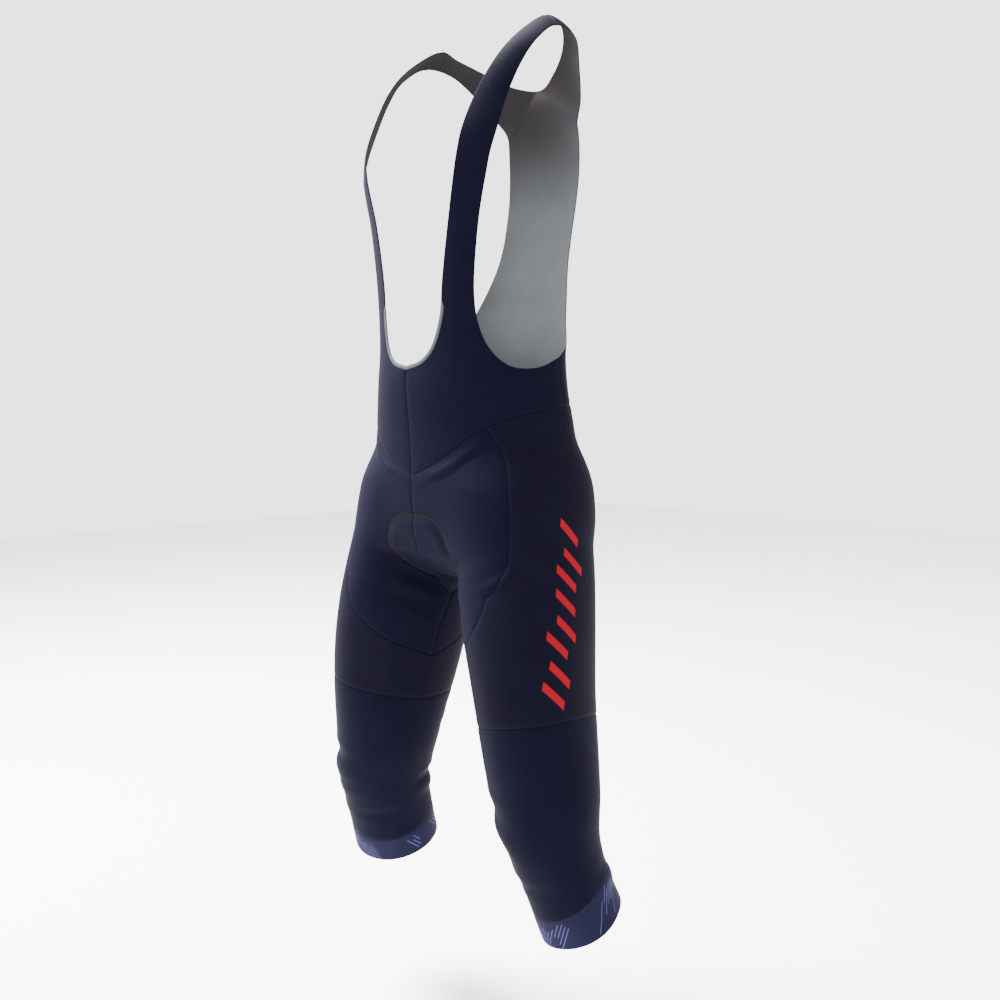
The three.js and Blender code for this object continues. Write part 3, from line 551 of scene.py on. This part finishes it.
def shell(points, normals, kinds, side=1, ring_from=None, thickness=CLOTH, marks=None):
    """Closed cloth from a grid: outer face, inner face a thickness in, and rims.

    kinds names the left, right, first and last edge: 'seam' stops a little short and
    dips, 'free' is rounded over, 'joined' meets another piece of the same mesh and
    'closed' meets the opposite edge. From row ring_from on, left meets right.
    """
    rows, columns = points.shape[:2]
    left, right = by_row(kinds[0], rows), by_row(kinds[1], rows)
    first, last = by_row(kinds[2], columns), by_row(kinds[3], columns)
    if ring_from is not None:
        left[ring_from:] = right[ring_from:] = "closed"
    across, down = lengths(points, 1), lengths(points, 0)
    sides = [
        (left[:, None], across),
        (right[:, None], across[:, -1:] - across),
        (first[None, :], down),
        (last[None, :], down[-1:] - down),
    ]
    near = [np.where(kind == "seam", distance, FAR) for kind, distance in sides]
    dip = SEAM_DIP * sum(np.exp(-((distance / SEAM_RUN) ** 2)) for distance in near)
    outer = points - normals * np.minimum(dip, SEAM_DIP)[..., None]

    outward = np.zeros_like(points)
    pulled = np.zeros_like(points)
    rounding = np.zeros((rows, columns))
    edges = [
        (left, (slice(None), 0), (slice(None), 1)),
        (right, (slice(None), -1), (slice(None), -2)),
        (first, (0, slice(None)), (1, slice(None))),
        (last, (-1, slice(None)), (-2, slice(None))),
    ]
    for (kind, edge, inside), (_, distance) in zip(edges, sides):
        used = (kind == "seam") | (kind == "free")
        away = unit(points[edge] - points[inside]) * used[:, None]
        outward[edge] += away
        pull = away * np.where(kind == "free", thickness / 2, GAP)[:, None]
        pull = pull[:, None] if edge[1] in (0, -1) else pull[None, :]
        pulled += pull * np.exp(-distance / EDGE_RUN)[..., None]
        rounding[edge] = np.maximum(rounding[edge], kind == "free")
    outward = unit(outward - normals * (outward * normals).sum(-1, keepdims=True))
    outer = outer - pulled

    layers = []
    for step in range(RIM_STEPS + 2):
        angle = np.pi * step / (RIM_STEPS + 1)
        deep = thickness / 2 * (1 - np.cos(angle))
        bulge = thickness / 2 * np.sin(angle) * rounding
        layers.append((outer - normals * deep + outward * bulge[..., None]).reshape(-1, 3))
    verts = np.concatenate(layers)

    half = rows * columns
    index = np.arange(half).reshape(rows, columns)
    inner = half * (RIM_STEPS + 1)
    quad = cells(index)
    faces = [quad, quad[:, ::-1] + inner]
    material = [np.zeros(len(quad), int), np.ones(len(quad), int)]

    def rimmed(kind):
        solid = (kind == "seam") | (kind == "free")
        return solid[:-1] & solid[1:] | (solid[:-1] != solid[1:]) & solid[:-1]

    strips = [
        (index[:-1, 0], index[1:, 0], rimmed(left)),
        (index[1:, -1], index[:-1, -1], rimmed(right)),
        (index[0, 1:], index[0, :-1], rimmed(first)),
        (index[-1, :-1], index[-1, 1:], rimmed(last)),
    ]
    for start, end, used in strips:
        start, end = start[used], end[used]
        for step in range(RIM_STEPS + 1):
            top, low = half * step, half * (step + 1)
            faces.append(np.stack([start + top, end + top, end + low, start + low], 1))
            material.append(np.full(len(start), int(step > RIM_STEPS // 2)))
    faces, material = np.concatenate(faces), np.concatenate(material)

    middle = (rows // 2, columns // 2)
    step_across = points[middle[0], middle[1] + 1] - points[middle]
    step_down = points[middle[0] + 1, middle[1]] - points[middle]
    facing = np.cross(step_across, step_down) @ normals[middle] > 0
    if facing != (side > 0):
        faces = faces[:, ::-1]
    placed = verts * [side, 1, 1]
    centred = across - across[:, [columns // 2]]
    maps = {
        "cloth": np.stack([centred, down], -1),
        "side_edge": np.stack([np.minimum(near[0], near[1]), down], -1),
        "end_edge": np.stack([np.minimum(near[2], near[3]), across], -1),
        "marks": marks if marks is not None else np.full((rows, columns, 2), -FAR),
    }
    corner_maps = {name: value.reshape(-1, 2)[faces % half] for name, value in maps.items()}
    return placed, faces, material, corner_maps


WELD = 0.00002       # corners nearer than this, in metres, are one


def add_object(name, data):
    made = bpy.data.objects.new(name, data)
    bpy.context.scene.collection.objects.link(made)
    return made


def build(name, shells):
    """One mesh object from several shells, with coincident corners joined."""
    verts = np.concatenate([part[0] for part in shells]) * MM
    starts = np.cumsum([0] + [len(part[0]) for part in shells[:-1]])
    faces = np.concatenate([part[1] + start for part, start in zip(shells, starts)])
    material = np.concatenate([part[2] for part in shells])
    used, compact = np.unique(faces, return_inverse=True)
    mesh = bpy.data.meshes.new(name)
    mesh.from_pydata(verts[used], [], compact.reshape(faces.shape))
    mesh.polygons.foreach_set("material_index", material.astype(np.int32))
    mesh.polygons.foreach_set("use_smooth", np.ones(len(faces), bool))
    for label in shells[0][3]:
        layer = mesh.uv_layers.new(name=label)
        flat = np.concatenate([part[3][label] for part in shells]) * MM
        layer.data.foreach_set("uv", flat.ravel().astype(np.float32))
    tidy = bmesh.new()
    tidy.from_mesh(mesh)
    bmesh.ops.remove_doubles(tidy, verts=tidy.verts, dist=WELD)
    bmesh.ops.dissolve_degenerate(tidy, edges=tidy.edges, dist=WELD)
    tidy.to_mesh(mesh)
    tidy.free()
    return add_object(name, mesh)


# -------- shader building

class Value:
    """A number socket whose sums, differences, products and quotients are Math nodes."""

    def __init__(self, tree, socket):
        self.tree, self.socket = tree, socket

    def math(self, operation, other=None, flip=False):
        made = self.tree.nodes.new("ShaderNodeMath")
        made.operation = operation
        terms = [self] if other is None else ([other, self] if flip else [self, other])
        for place, term in enumerate(terms):
            if isinstance(term, Value):
                self.tree.links.new(term.socket, made.inputs[place])
            else:
                made.inputs[place].default_value = term
        return Value(self.tree, made.outputs[0])

    def __add__(self, other):
        return self.math("ADD", other)

    def __sub__(self, other):
        return self.math("SUBTRACT", other)

    def __mul__(self, other):
        return self.math("MULTIPLY", other)

    def __truediv__(self, other):
        return self.math("DIVIDE", other)

    def __radd__(self, other):
        return self.math("ADD", other, flip=True)

    def __rsub__(self, other):
        return self.math("SUBTRACT", other, flip=True)

    def step(self, low, high):
        """Smooth rise from 0 at low to 1 at high."""
        made = self.tree.nodes.new("ShaderNodeMapRange")
        made.interpolation_type = "SMOOTHSTEP"
        self.tree.links.new(self.socket, made.inputs["Value"])
        made.inputs["From Min"].default_value = low
        made.inputs["From Max"].default_value = high
        return Value(self.tree, made.outputs["Result"])

    def wave(self, pitch):
        """Sine wave of the given pitch, from 0 to 1."""
        return ((self * (2 * np.pi / pitch)).math("SINE") + 1.0) * 0.5


class Finish:
    """A material with helpers that add a node, set it up and join its sockets."""

    def __init__(self, name):
        self.material = bpy.data.materials.new(name)
        self.material.use_nodes = True
        self.tree = self.material.node_tree
        self.tree.nodes.clear()

    def join(self, socket, value):
        """Links a value or an output to an input, or sets the input to a plain number."""
        if isinstance(value, Value):
            self.tree.links.new(value.socket, socket)
        elif isinstance(value, bpy.types.NodeSocket):
            self.tree.links.new(value, socket)
        else:
            socket.default_value = value

    def node(self, kind, settings=None, **sockets):
        made = self.tree.nodes.new(kind)
        for name, value in (settings or {}).items():
            setattr(made, name, value)
        for name, value in sockets.items():
            self.join(made.inputs[name.replace("_", " ")], value)
        return made

    def split(self, vector):
        made = self.node("ShaderNodeSeparateXYZ", Vector=vector)
        return [Value(self.tree, output) for output in made.outputs]

    def map(self, name):
        """The two lengths of one of the piece's own maps, in metres."""
        return self.split(self.node("ShaderNodeUVMap", {"uv_map": name}).outputs[0])[:2]

    def height(self):
        """Height of the point in the garment, in metres."""
        return self.split(self.node("ShaderNodeTexCoord").outputs["Object"])[2]

    def noise(self, scale, detail):
        where = self.node("ShaderNodeTexCoord").outputs["Object"]
        made = self.node("ShaderNodeTexNoise", Scale=scale, Detail=detail, Vector=where)
        return Value(self.tree, made.outputs["Fac"])

    def mix_colour(self, factor, a, b):
        made = self.node("ShaderNodeMix", {"data_type": "RGBA"})
        for place, value in ((0, factor), (6, a), (7, b)):
            self.join(made.inputs[place], value)
        return made.outputs[2]

    def bump(self, height, distance, strength):
        made = self.node("ShaderNodeBump", Strength=strength, Distance=distance, Height=height)
        return made.outputs["Normal"]

    def done(self, **sockets):
        shader = self.node("ShaderNodeBsdfPrincipled", **sockets)
        out = self.node("ShaderNodeOutputMaterial")
        self.tree.links.new(shader.outputs[0], out.inputs["Surface"])
        return self.material


def rgb(code):
    """Linear colour from a six-digit sRGB code."""
    parts = np.array([int(code[k : k + 2], 16) for k in (0, 2, 4)]) / 255
    linear = np.where(parts <= 0.04045, parts / 12.92, ((parts + 0.055) / 1.055) ** 2.4)
    return (*linear.tolist(), 1.0)


STITCH_AT = 0.0026     # metres from a seam line to the row of stitches beside it
STITCH_PITCH = 0.0032
SEAM_SHADE = (0.001, 0.001, 0.002, 1.0)


def stitches(edge, along):
    """A row of short dashes beside a seam, soft at their sides and ends."""
    row = 1.0 - (edge - STITCH_AT).math("ABSOLUTE").step(0.0004, 0.0009)
    return row * along.wave(STITCH_PITCH).step(0.2, 0.45)


def knit_finish(name, colour, thread, sheen, roughness, rib=0.0011, drawn=None):
    """Fine stretch knit: ribs and courses, a flat seam with its stitches, soft sheen."""
    f = Finish(name)
    across, down = f.map("cloth")
    side, side_along = f.map("side_edge")
    end, end_along = f.map("end_edge")
    ribs = across.wave(rib)
    loops = down.wave(rib * 1.3)
    weave = ribs * 0.6 + loops * 0.4
    fuzz = f.noise(900.0, 2.0)
    cloudy = f.noise(22.0, 3.0)
    stitched = stitches(side, side_along).math("MAXIMUM", stitches(end, end_along))
    seam = 1.0 - side.math("MINIMUM", end).step(0.0002, 0.0016)
    base = f.mix_colour(cloudy.step(0.3, 0.7), rgb(colour[0]), rgb(colour[1]))
    base = f.mix_colour(stitched * 0.5, base, rgb(thread))
    base = f.mix_colour(seam * 0.3, base, SEAM_SHADE)
    if drawn:
        base = drawn(f, base)
    height = weave * 0.35 + fuzz * 0.25 + stitched * 1.6
    normal = f.bump(height, 0.00016, 0.45)
    return f.done(
        Base_Color=base,
        Roughness=roughness + (fuzz - 0.5) * 0.1,
        Specular_IOR_Level=0.03,
        Sheen_Weight=sheen,
        Sheen_Roughness=0.4,
        Sheen_Tint=rgb("6a6fa0"),
        Normal=normal,
    )


BARS = 8
BAR_PITCH = 0.027      # metres from one bar to the next
BAR_SLANT = 0.55       # how far a bar leans along the column for each metre across
BAR_REACH = 0.0165     # half the length of a bar
BAR_SWAY = 0.006       # how far the bars stand to and fro


def with_bars(f, base):
    """Red slanted bars in a swaying column: a runs along it, b across, in metres."""
    a, b = f.map("marks")
    slanted = a + b * BAR_SLANT
    number = (slanted / BAR_PITCH).math("FLOOR")
    place = slanted / BAR_PITCH - number
    thick = 1.0 - (place - 0.5).math("ABSOLUTE").step(0.17, 0.2)
    swing = (number * 2.4).math("SINE") * BAR_SWAY
    wide = 1.0 - (b - swing).math("ABSOLUTE").step(BAR_REACH, BAR_REACH + 0.0007)
    within = number.step(-0.6, -0.4) * (1.0 - number.step(BARS - 0.6, BARS - 0.4))
    return f.mix_colour(thick * wide * within, base, rgb("6c0611"))


def with_pad_stitch(f, base):
    """The olive thread that holds the pad, as a thin line along its outline."""
    distance = f.map("marks")[0]
    line = 1.0 - distance.math("ABSOLUTE").step(0.0005, 0.0010)
    return f.mix_colour(line * 0.75, base, rgb("1a170c"))


STREAK_PITCH = 0.006   # metres from one streak's line to the next
STREAK_SLANT = 0.75


def with_streaks(f, base):
    """Slanted streaks of uneven length on a cuff, in groups."""
    across, down = f.map("cloth")
    slanted = across + down * STREAK_SLANT
    number = (slanted / STREAK_PITCH).math("FLOOR")
    place = slanted / STREAK_PITCH - number
    thin = 1.0 - (place - 0.5).math("ABSOLUTE").step(0.12, 0.2)
    chance = ((number * 12.9898).math("SINE") * 43758.5).math("FRACT")
    start = 0.003 + chance * 0.012
    long = (down - start).step(0.0, 0.0015)
    end = 1.0 - (down - start - 0.014 - chance * 0.014).step(0.0, 0.0015)
    shown = ((number * 0.37).math("SINE") + chance * 0.6).step(0.1, 0.15)
    return f.mix_colour(thin * long * end * shown * 0.8, base, rgb("33365c"))


# Painted shade: between these heights the inner face is painted darker, standing in for the shade
# inside the upper back and straps.
PAINTED_SHADE_LOW = -0.22   # the inner face darkens from this height, in metres,
PAINTED_SHADE_HIGH = -0.06  # to this one


def inside_finish(name, light, dark, painted_shade=None):
    """A brushed, matt face with fine courses, with painted shade towards the shoulders if its
    colour is given.
    """
    f = Finish(name)
    across, down = f.map("cloth")
    nap = f.noise(1100.0, 2.0)
    cloudy = f.noise(30.0, 3.0)
    weave = across.wave(0.0012) * 0.5 + down.wave(0.0015) * 0.5
    base = f.mix_colour(cloudy.step(0.2, 0.8) * 0.6 + nap * 0.2, rgb(dark), rgb(light))
    # painted shade: darker towards the top, for the shade that falls inside the upper back and
    # straps
    if painted_shade:
        base = f.mix_colour(f.height().step(PAINTED_SHADE_LOW, PAINTED_SHADE_HIGH), base, rgb(painted_shade))
    normal = f.bump(weave, 0.00005, 0.1)
    return f.done(Base_Color=base, Roughness=0.9, Specular_IOR_Level=0.03, Normal=normal)


# The two colours that a cloth varies between, its thread's colour, sheen and roughness.
NAVY_LOOK = (("040310", "050412"), "0a0919", 0.006, 0.75)
DARK_LOOK = (("05040f", "060511"), "0b0a18", 0.006, 0.75)
CUFF_LOOK = (("100f21", "121124"), "181831", 0.01, 0.7)

NAVY = knit_finish("navy_knit", *NAVY_LOOK)
NAVY_PAD = knit_finish("navy_knit_pad", *NAVY_LOOK, drawn=with_pad_stitch)
DARK = knit_finish("dark_knit", *DARK_LOOK)
DARK_PRINTED = knit_finish("dark_knit_printed", *DARK_LOOK, drawn=with_bars)
CUFF = knit_finish("cuff_elastic", *CUFF_LOOK, rib=0.0016, drawn=with_streaks)
# the inside's grey, with painted shade over the upper back and straps
INSIDE = inside_finish("grey_inside", "2e3031", "292b2c", painted_shade="1d1b1d")
BINDING = inside_finish("grey_binding", "3f4243", "393b3d")
PAD_CLOTH = inside_finish("pad_cloth", "12141f", "0f101a")


def dress(piece, node, outer, inner=None):
    """Gives a piece its finishes, hangs it from the root and hides the imported part of the node it
    stands for.
    """
    piece.data.materials.append(outer)
    piece.data.materials.append(inner or INSIDE)
    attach(piece, "root")
    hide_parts(node)
    return piece


# -------- the legs

def leg_panel(start, end, levels, count, width):
    """Grid of a leg panel: each row at a level, between the ways of two seams."""
    parts = spread(count, width)
    level = levels[:, None]
    way = mix(start(level), end(level), parts[None, :])
    level = level + 0 * way
    points = on_form(way, leg_z(way, level))
    return points, form_normal(points), way, level


def levels_between(top, bottom, spacing=CELL):
    """Levels about a spacing apart, with extra ones close to both ends."""
    total = abs(bottom - top)
    return mix(top, bottom, spread(int(total / spacing), total))


def front_seam(level):
    return np.where(level <= THIGH_POINT, 0.0, read(THIGH_SEAMS, level)[0])


def back_seam(level):
    return np.where(level <= THIGH_POINT, 1.0, read(THIGH_SEAMS, level)[1])


def zero(level):
    return 0 * level


def one(level):
    return 0 * level + 1


THIGH_LEVELS = levels_between(YOKE_LEVEL, THIGH_POINT)
THIGH_LEVELS[np.argmin(np.abs(THIGH_LEVELS - CROTCH_Z))] = CROTCH_Z
SIDE_LEVELS = np.concatenate([THIGH_LEVELS, levels_between(THIGH_POINT, KNEE_LEVEL)[1:]])
POINT_ROW = int(np.argmin(np.abs(SIDE_LEVELS - THIGH_POINT)))
KNEE_LEVELS = levels_between(KNEE_LEVEL, CUFF_LEVEL)
CUFF_LEVELS = levels_between(CUFF_LEVEL, HEM_LEVEL, CUFF_CELL)

# Way round and z of the lower and the upper end of the line the bars stand along.
MARK_START = (0.415, -810.0)
MARK_END = (0.515, -620.0)


def mark_map(points):
    """Lengths along and across the line of the thigh print, from its lower end."""
    ends = on_form(*zip(MARK_START, MARK_END))
    line = unit(ends[1] - ends[0])
    normal = form_normal(ends.mean(0)[None])[0]
    aside = unit(np.cross(line, normal))
    offset = points - ends[0]
    facing = (form_normal(points) * normal).sum(-1)
    along = np.where(facing > 0.2, offset @ line, -FAR)
    return np.stack([along, offset @ aside], -1)


SIDES = {"left": 1, "right": -1}


def make_legs():
    """Five panels, shaped for the left leg and mirrored for the right, but for the creases."""
    sewn = ("seam",) * 4
    # the grid, the kinds of its edges, the row its sides close from, finish and slot
    grids = {
        "front_thigh": (leg_panel(zero, front_seam, THIGH_LEVELS, 46, 150.0),
                        sewn, None, NAVY_PAD, "navy_knit"),
        "side_thigh": (leg_panel(front_seam, back_seam, SIDE_LEVELS, 104, 300.0),
                       sewn, POINT_ROW, DARK, "dark_knit"),
        "seat": (leg_panel(back_seam, one, THIGH_LEVELS, 60, 180.0),
                 sewn, None, NAVY_PAD, "navy_knit"),
        "knee": (leg_panel(zero, one, KNEE_LEVELS, 132, 420.0),
                 ("closed", "closed", "seam", "seam"), 0, NAVY, "navy_knit"),
        "cuff": (leg_panel(zero, one, CUFF_LEVELS, 132, 360.0),
                 ("closed", "closed", "seam", "free"), 0, CUFF, "cuff_elastic"),
    }
    for kind, ((points, normals, way, level), kinds, ring, finish, slot) in grids.items():
        marks = None
        if kind in ("front_thigh", "seat"):
            distance = pad_distance(points, way, level, kind == "seat")
            points = over_pad(points, normals, distance)
            marks = np.stack([distance, level], -1)
        for label, side in SIDES.items():
            name = f"{kind}_{label}"
            shaped = creased(points, normals, side)
            if name == "side_thigh_left":
                drawn, outer = mark_map(points), DARK_PRINTED
            else:
                drawn, outer = marks, finish
            piece = build(f"{name}_cloth", [shell(shaped, normals, kinds, side, ring, marks=drawn)])
            dress(piece, name, outer)


make_legs()


# -------- the bib

CHEST_AT = BIB_EDGES[-1][0]
BLADE_AT = BACK_EDGES[-1][0]


def edge_curve(rows, at):
    """Catmull-Rom curve through rows whose first and last only steer it."""
    table = np.array(rows, float)
    last = len(rows) - 3
    index = np.clip(np.floor(at).astype(int), 0, last - 1)
    t = (at - index)[..., None]
    a, b, c, d = (table[index + k] for k in range(4))
    return 0.5 * (2 * b + (c - a) * t + (2 * a - 5 * b + 4 * c - d) * t**2
                  + (3 * b - a - 3 * c + d) * t**3)


def strap_rows():
    """Strap edges from the chest to the back neckline, with a guide row at either end."""
    def spot(turn, z):
        return on_form(np.atleast_1d(turn / 180), np.atleast_1d(z))[0]

    rows = []
    for at in (CHEST_AT - ROW_STEP, CHEST_AT):
        inner_turn, inner_z, outer_turn, outer_z, _ = read(BIB_EDGES, at)
        rows.append(np.r_[spot(inner_turn, inner_z), spot(outer_turn, outer_z)])
    rows += [np.array(row, float) for row in STRAP]
    outer_turn, outer_z, inner_z = read(BACK_EDGES, BLADE_AT)
    rows.append(np.r_[spot(180, inner_z), spot(outer_turn, outer_z)])
    outer_turn, outer_z, _ = read(BACK_EDGES, BLADE_AT - ROW_STEP)
    mirrored = np.array(STRAP[-1][:3], float) * [-1, 1, 1]
    rows.append(np.r_[mirrored, spot(outer_turn, outer_z)])
    return rows


STRAP_ROWS = strap_rows()
STRAP_LAST = len(STRAP_ROWS) - 3


def strap_grid(parts, at):
    """Strap points: between its two edge curves, bowed outward across the middle."""
    step = 0.02
    edges, ahead, behind = (
        edge_curve(STRAP_ROWS, place)
        for place in (at, np.minimum(at + step, STRAP_LAST), np.maximum(at - step, 0))
    )
    part = parts[None, :, None]
    spot = mix(edges[:, None, :3], edges[:, None, 3:], part)
    travel = mix((ahead - behind)[:, None, :3], (ahead - behind)[:, None, 3:], part)
    normal = unit(np.cross((edges[:, 3:] - edges[:, :3])[:, None], travel))
    crown = mix(CHEST_CROWN, STRAP_CROWN, smooth(at)) * smooth(STRAP_LAST - at)
    bow = crown[:, None] * 4 * parts * (1 - parts)
    return spot + normal * bow[..., None], normal


def with_strap(body, parts, start, count, ease):
    """A body's points and normals, carried on by a strap from its row start to the top.

    Over ease rows the cloth turns from the body's facing to the strap's own.
    """
    at = np.linspace(start, STRAP_TOP_ROW, count)[1:]
    strap, facing = strap_grid(parts, at)
    normals = form_normal(body)
    turned = smooth(np.abs(at - start) / ease)[:, None, None]
    facing = unit(mix(normals[-1][None], facing, turned))
    return np.r_[body, strap], np.r_[normals, facing]


def neck_edge(at, set_back):
    """Way round and z of the front neckline at a row, moved away from the opening."""
    turn, z = read(BIB_EDGES, at)[:2]
    low, high = read(BIB_EDGES, at - ROW_STEP), read(BIB_EDGES, at + ROW_STEP)
    across = (high[0] - low[0]) / 180 * ROUND_LENGTH
    up = high[1] - low[1]
    aside = up / np.hypot(across, up) * np.clip(at / ROW_STEP, 0, 1)
    shift = set_back * smooth((BINDING_ROWS - at) / BINDING_TAPER)
    return turn / 180 + aside * shift / ROUND_LENGTH, z - np.sqrt(1 - aside**2) * shift


def column(values):
    """Each list as a column, to be mixed with the parts across a grid."""
    return [value[:, None] for value in values]


def bib_front_grid():
    """Front bib and strap: yoke seam, the fan under the openings, then the strap."""
    parts = spread(54, 150.0)
    at = np.linspace(0, CHEST_AT, 100)
    inner_way, inner_z = column(neck_edge(at, BINDING_WIDTH))
    outer_turn, outer_z, sag = column(read(BIB_EDGES, at)[2:])
    way = mix(inner_way, outer_turn / 180, parts)
    height = mix(inner_z, outer_z, parts) - sag * 4 * parts * (1 - parts)
    low_way = parts[None, :] * SIDE_ROUND
    rise = spread(32, 110.0)[:-1, None]
    lower_z = mix(read(YOKE, low_way)[0], height[:1], rise)
    lower_way = mix(low_way, way[:1], smooth(rise))
    body = on_form(np.r_[lower_way, way], np.r_[lower_z, height])
    return *with_strap(body, parts, 0, 92, 1.2), len(rise)


def bib_back_grid():
    """Left half of the back: yoke seam, armhole to centre back, then the strap."""
    parts = spread(50, 130.0)
    at = np.linspace(0, BLADE_AT, 110)
    outer_turn, outer_z, inner_z = column(read(BACK_EDGES, at))
    way = mix(outer_turn / 180, 1.0, parts)
    height = mix(outer_z, inner_z, parts)
    low_way = mix(SIDE_ROUND, 1.0, parts)[None, :]
    rise = spread(16, 50.0)[:-1, None]
    lower_z = mix(read(YOKE, low_way)[0], height[:1], rise)
    body = on_form(np.r_[low_way + 0 * rise, way], np.r_[lower_z, height])
    return *with_strap(body, 1 - parts, STRAP_LAST, 84, 1.5), len(rise), len(rise) + len(at)


def make_bib():
    """Two fronts, and one back whose halves are joined down the middle."""
    points, normals, opening = bib_front_grid()
    kinds = (("seam", opening, "free"), ("seam", opening, "free"), "seam", "seam")
    for label, side in SIDES.items():
        name = f"bib_front_{label}"
        shaped = creased(points, normals, side)
        piece = build(f"{name}_cloth", [shell(shaped, normals, kinds, side)])
        dress(piece, name, NAVY)
    points, normals, opening, neckline = bib_back_grid()
    kinds = (("seam", opening, "free"), ("joined", neckline, "free"), "seam", "seam")
    halves = [shell(creased(points, normals, side), normals, kinds, side) for side in (1, -1)]
    dress(build("bib_back_cloth", halves), "bib_back", NAVY)


# -------- binding and pad

def make_binding():
    """A folded tape round the front neckline: an oval section carried along its edge."""
    at = np.linspace(0, BINDING_ROWS, 90)
    edge = on_form(*neck_edge(at, 0.0))
    fold = on_form(*neck_edge(at, BINDING_WIDTH))
    width = (fold - edge) / BINDING_WIDTH
    normal = form_normal(edge)
    middle = (edge + fold) / 2 - normal * (CLOTH / 2)
    middle, width, normal = (
        np.r_[line[:0:-1] * [-1, 1, 1], line] for line in (middle, width, normal)
    )
    rows = len(middle)
    taper = np.linalg.norm(width, axis=-1)
    angle = np.linspace(0, 2 * np.pi, TAPE_SIDES + 1)[:-1]
    flat = np.cos(angle)[None, :, None] * width[:, None] * BINDING_WIDTH / 2
    thick = np.sin(angle)[None, :, None] * normal[:, None] * BINDING_THICK / 2
    verts = middle[:, None] + flat + thick * taper[:, None, None]
    index = np.arange(rows * TAPE_SIDES).reshape(rows, TAPE_SIDES)
    faces = cells(np.c_[index, index[:, :1]])
    round_length = np.linspace(0, BINDING_WIDTH * TAPE_GIRTH, TAPE_SIDES + 1)
    run = lengths(middle[:, None], 0)
    cloth = cells(np.stack(np.broadcast_arrays(round_length[None, :], run), -1))
    far = np.full_like(cloth, FAR)
    corner_maps = {"cloth": cloth, "side_edge": far, "end_edge": far, "marks": -far}
    shape = (verts.reshape(-1, 3), faces[:, ::-1], np.zeros(len(faces), int), corner_maps)
    piece = build("neck_binding_tape", [shape])
    dress(piece, "neck_binding", BINDING, BINDING)


PAD_DEPTH = 4.0      # thickness of the pad
PAD_UNDER = 2.3      # how far the pad's outer face lies inside the cloth's


def make_pad():
    """The crotch pad in four quarters that meet on the centre line and the inseam."""
    above = np.linspace(PAD[0][0], PAD[-1][0], 62)
    parts = np.linspace(0, 1, 16)
    quarters = []
    for which, centre, towards in ((0, 0.0, 1), (1, 1.0, -1)):
        half_width = np.maximum(read(PAD, above)[which], 0)
        way = centre + towards * half_width[:, None] * parts
        level = (CROTCH_Z + above)[:, None] + 0 * parts
        points = on_form(way, leg_z(way, level))
        normals = form_normal(points)
        under = points - normals * PAD_UNDER
        for side in (1, -1):
            kinds = ("joined", "free", "joined", "joined")
            quarters.append(shell(under, normals, kinds, side, thickness=PAD_DEPTH))
    piece = dress(build("seat_pad_foam", quarters), "seat_pad", PAD_CLOTH, PAD_CLOTH)


make_bib()
make_binding()
make_pad()


# -------- camera, light and floor

CAMERA_ROUND = np.radians(47)     # from the front towards the wearer's left
CAMERA_DOWN = np.radians(5)       # how far the view looks down
CAMERA_PLACE = (1.08, -0.99, -0.46)
MIDDLE_Z = -0.55                  # the lights look at this height
FLOOR_Z = -1.30


def add_camera():
    data = bpy.data.cameras.new("camera")
    data.lens = 40.0
    camera = add_object("camera", data)
    camera.location = CAMERA_PLACE
    camera.rotation_euler = (np.pi / 2 - CAMERA_DOWN, 0.0, CAMERA_ROUND)
    bpy.context.scene.camera = camera


def add_light(name, turn, rise, distance, size, power):
    """A square soft light that looks at the middle of the garment.

    turn is its place round the garment, from the front towards the wearer's left.
    """
    data = bpy.data.lights.new(name, "AREA")
    data.size, data.energy = size, power
    light = add_object(name, data)
    turn, rise = np.radians(turn), np.radians(rise)
    flat = np.cos(rise)
    way = Vector((np.sin(turn) * flat, -np.cos(turn) * flat, np.sin(rise)))
    light.location = Vector((0, 0, MIDDLE_Z)) + way * distance
    light.rotation_euler = way.to_track_quat("Z", "Y").to_euler()


def add_floor():
    mesh = bpy.data.meshes.new("floor")
    reach = 6.0
    corners = [(-reach, -reach), (reach, -reach), (reach, reach), (-reach, reach)]
    mesh.from_pydata([(x, y, FLOOR_Z) for x, y in corners], [], [(0, 1, 2, 3)])
    floor = add_object("floor", mesh)
    finish = Finish("pale_floor")
    mesh.materials.append(finish.done(Base_Color=(0.8, 0.8, 0.8, 1), Roughness=0.95))


def add_world():
    world = bpy.data.worlds.new("pale")
    world.use_nodes = True
    background = world.node_tree.nodes["Background"]
    background.inputs["Color"].default_value = (1, 1, 1, 1)
    background.inputs["Strength"].default_value = 3.0
    bpy.context.scene.world = world


add_camera()
add_floor()
add_world()
add_light("key", -70, 55, 3.0, 1.6, 1300)
add_light("fill", 60, 25, 3.2, 2.4, 20)
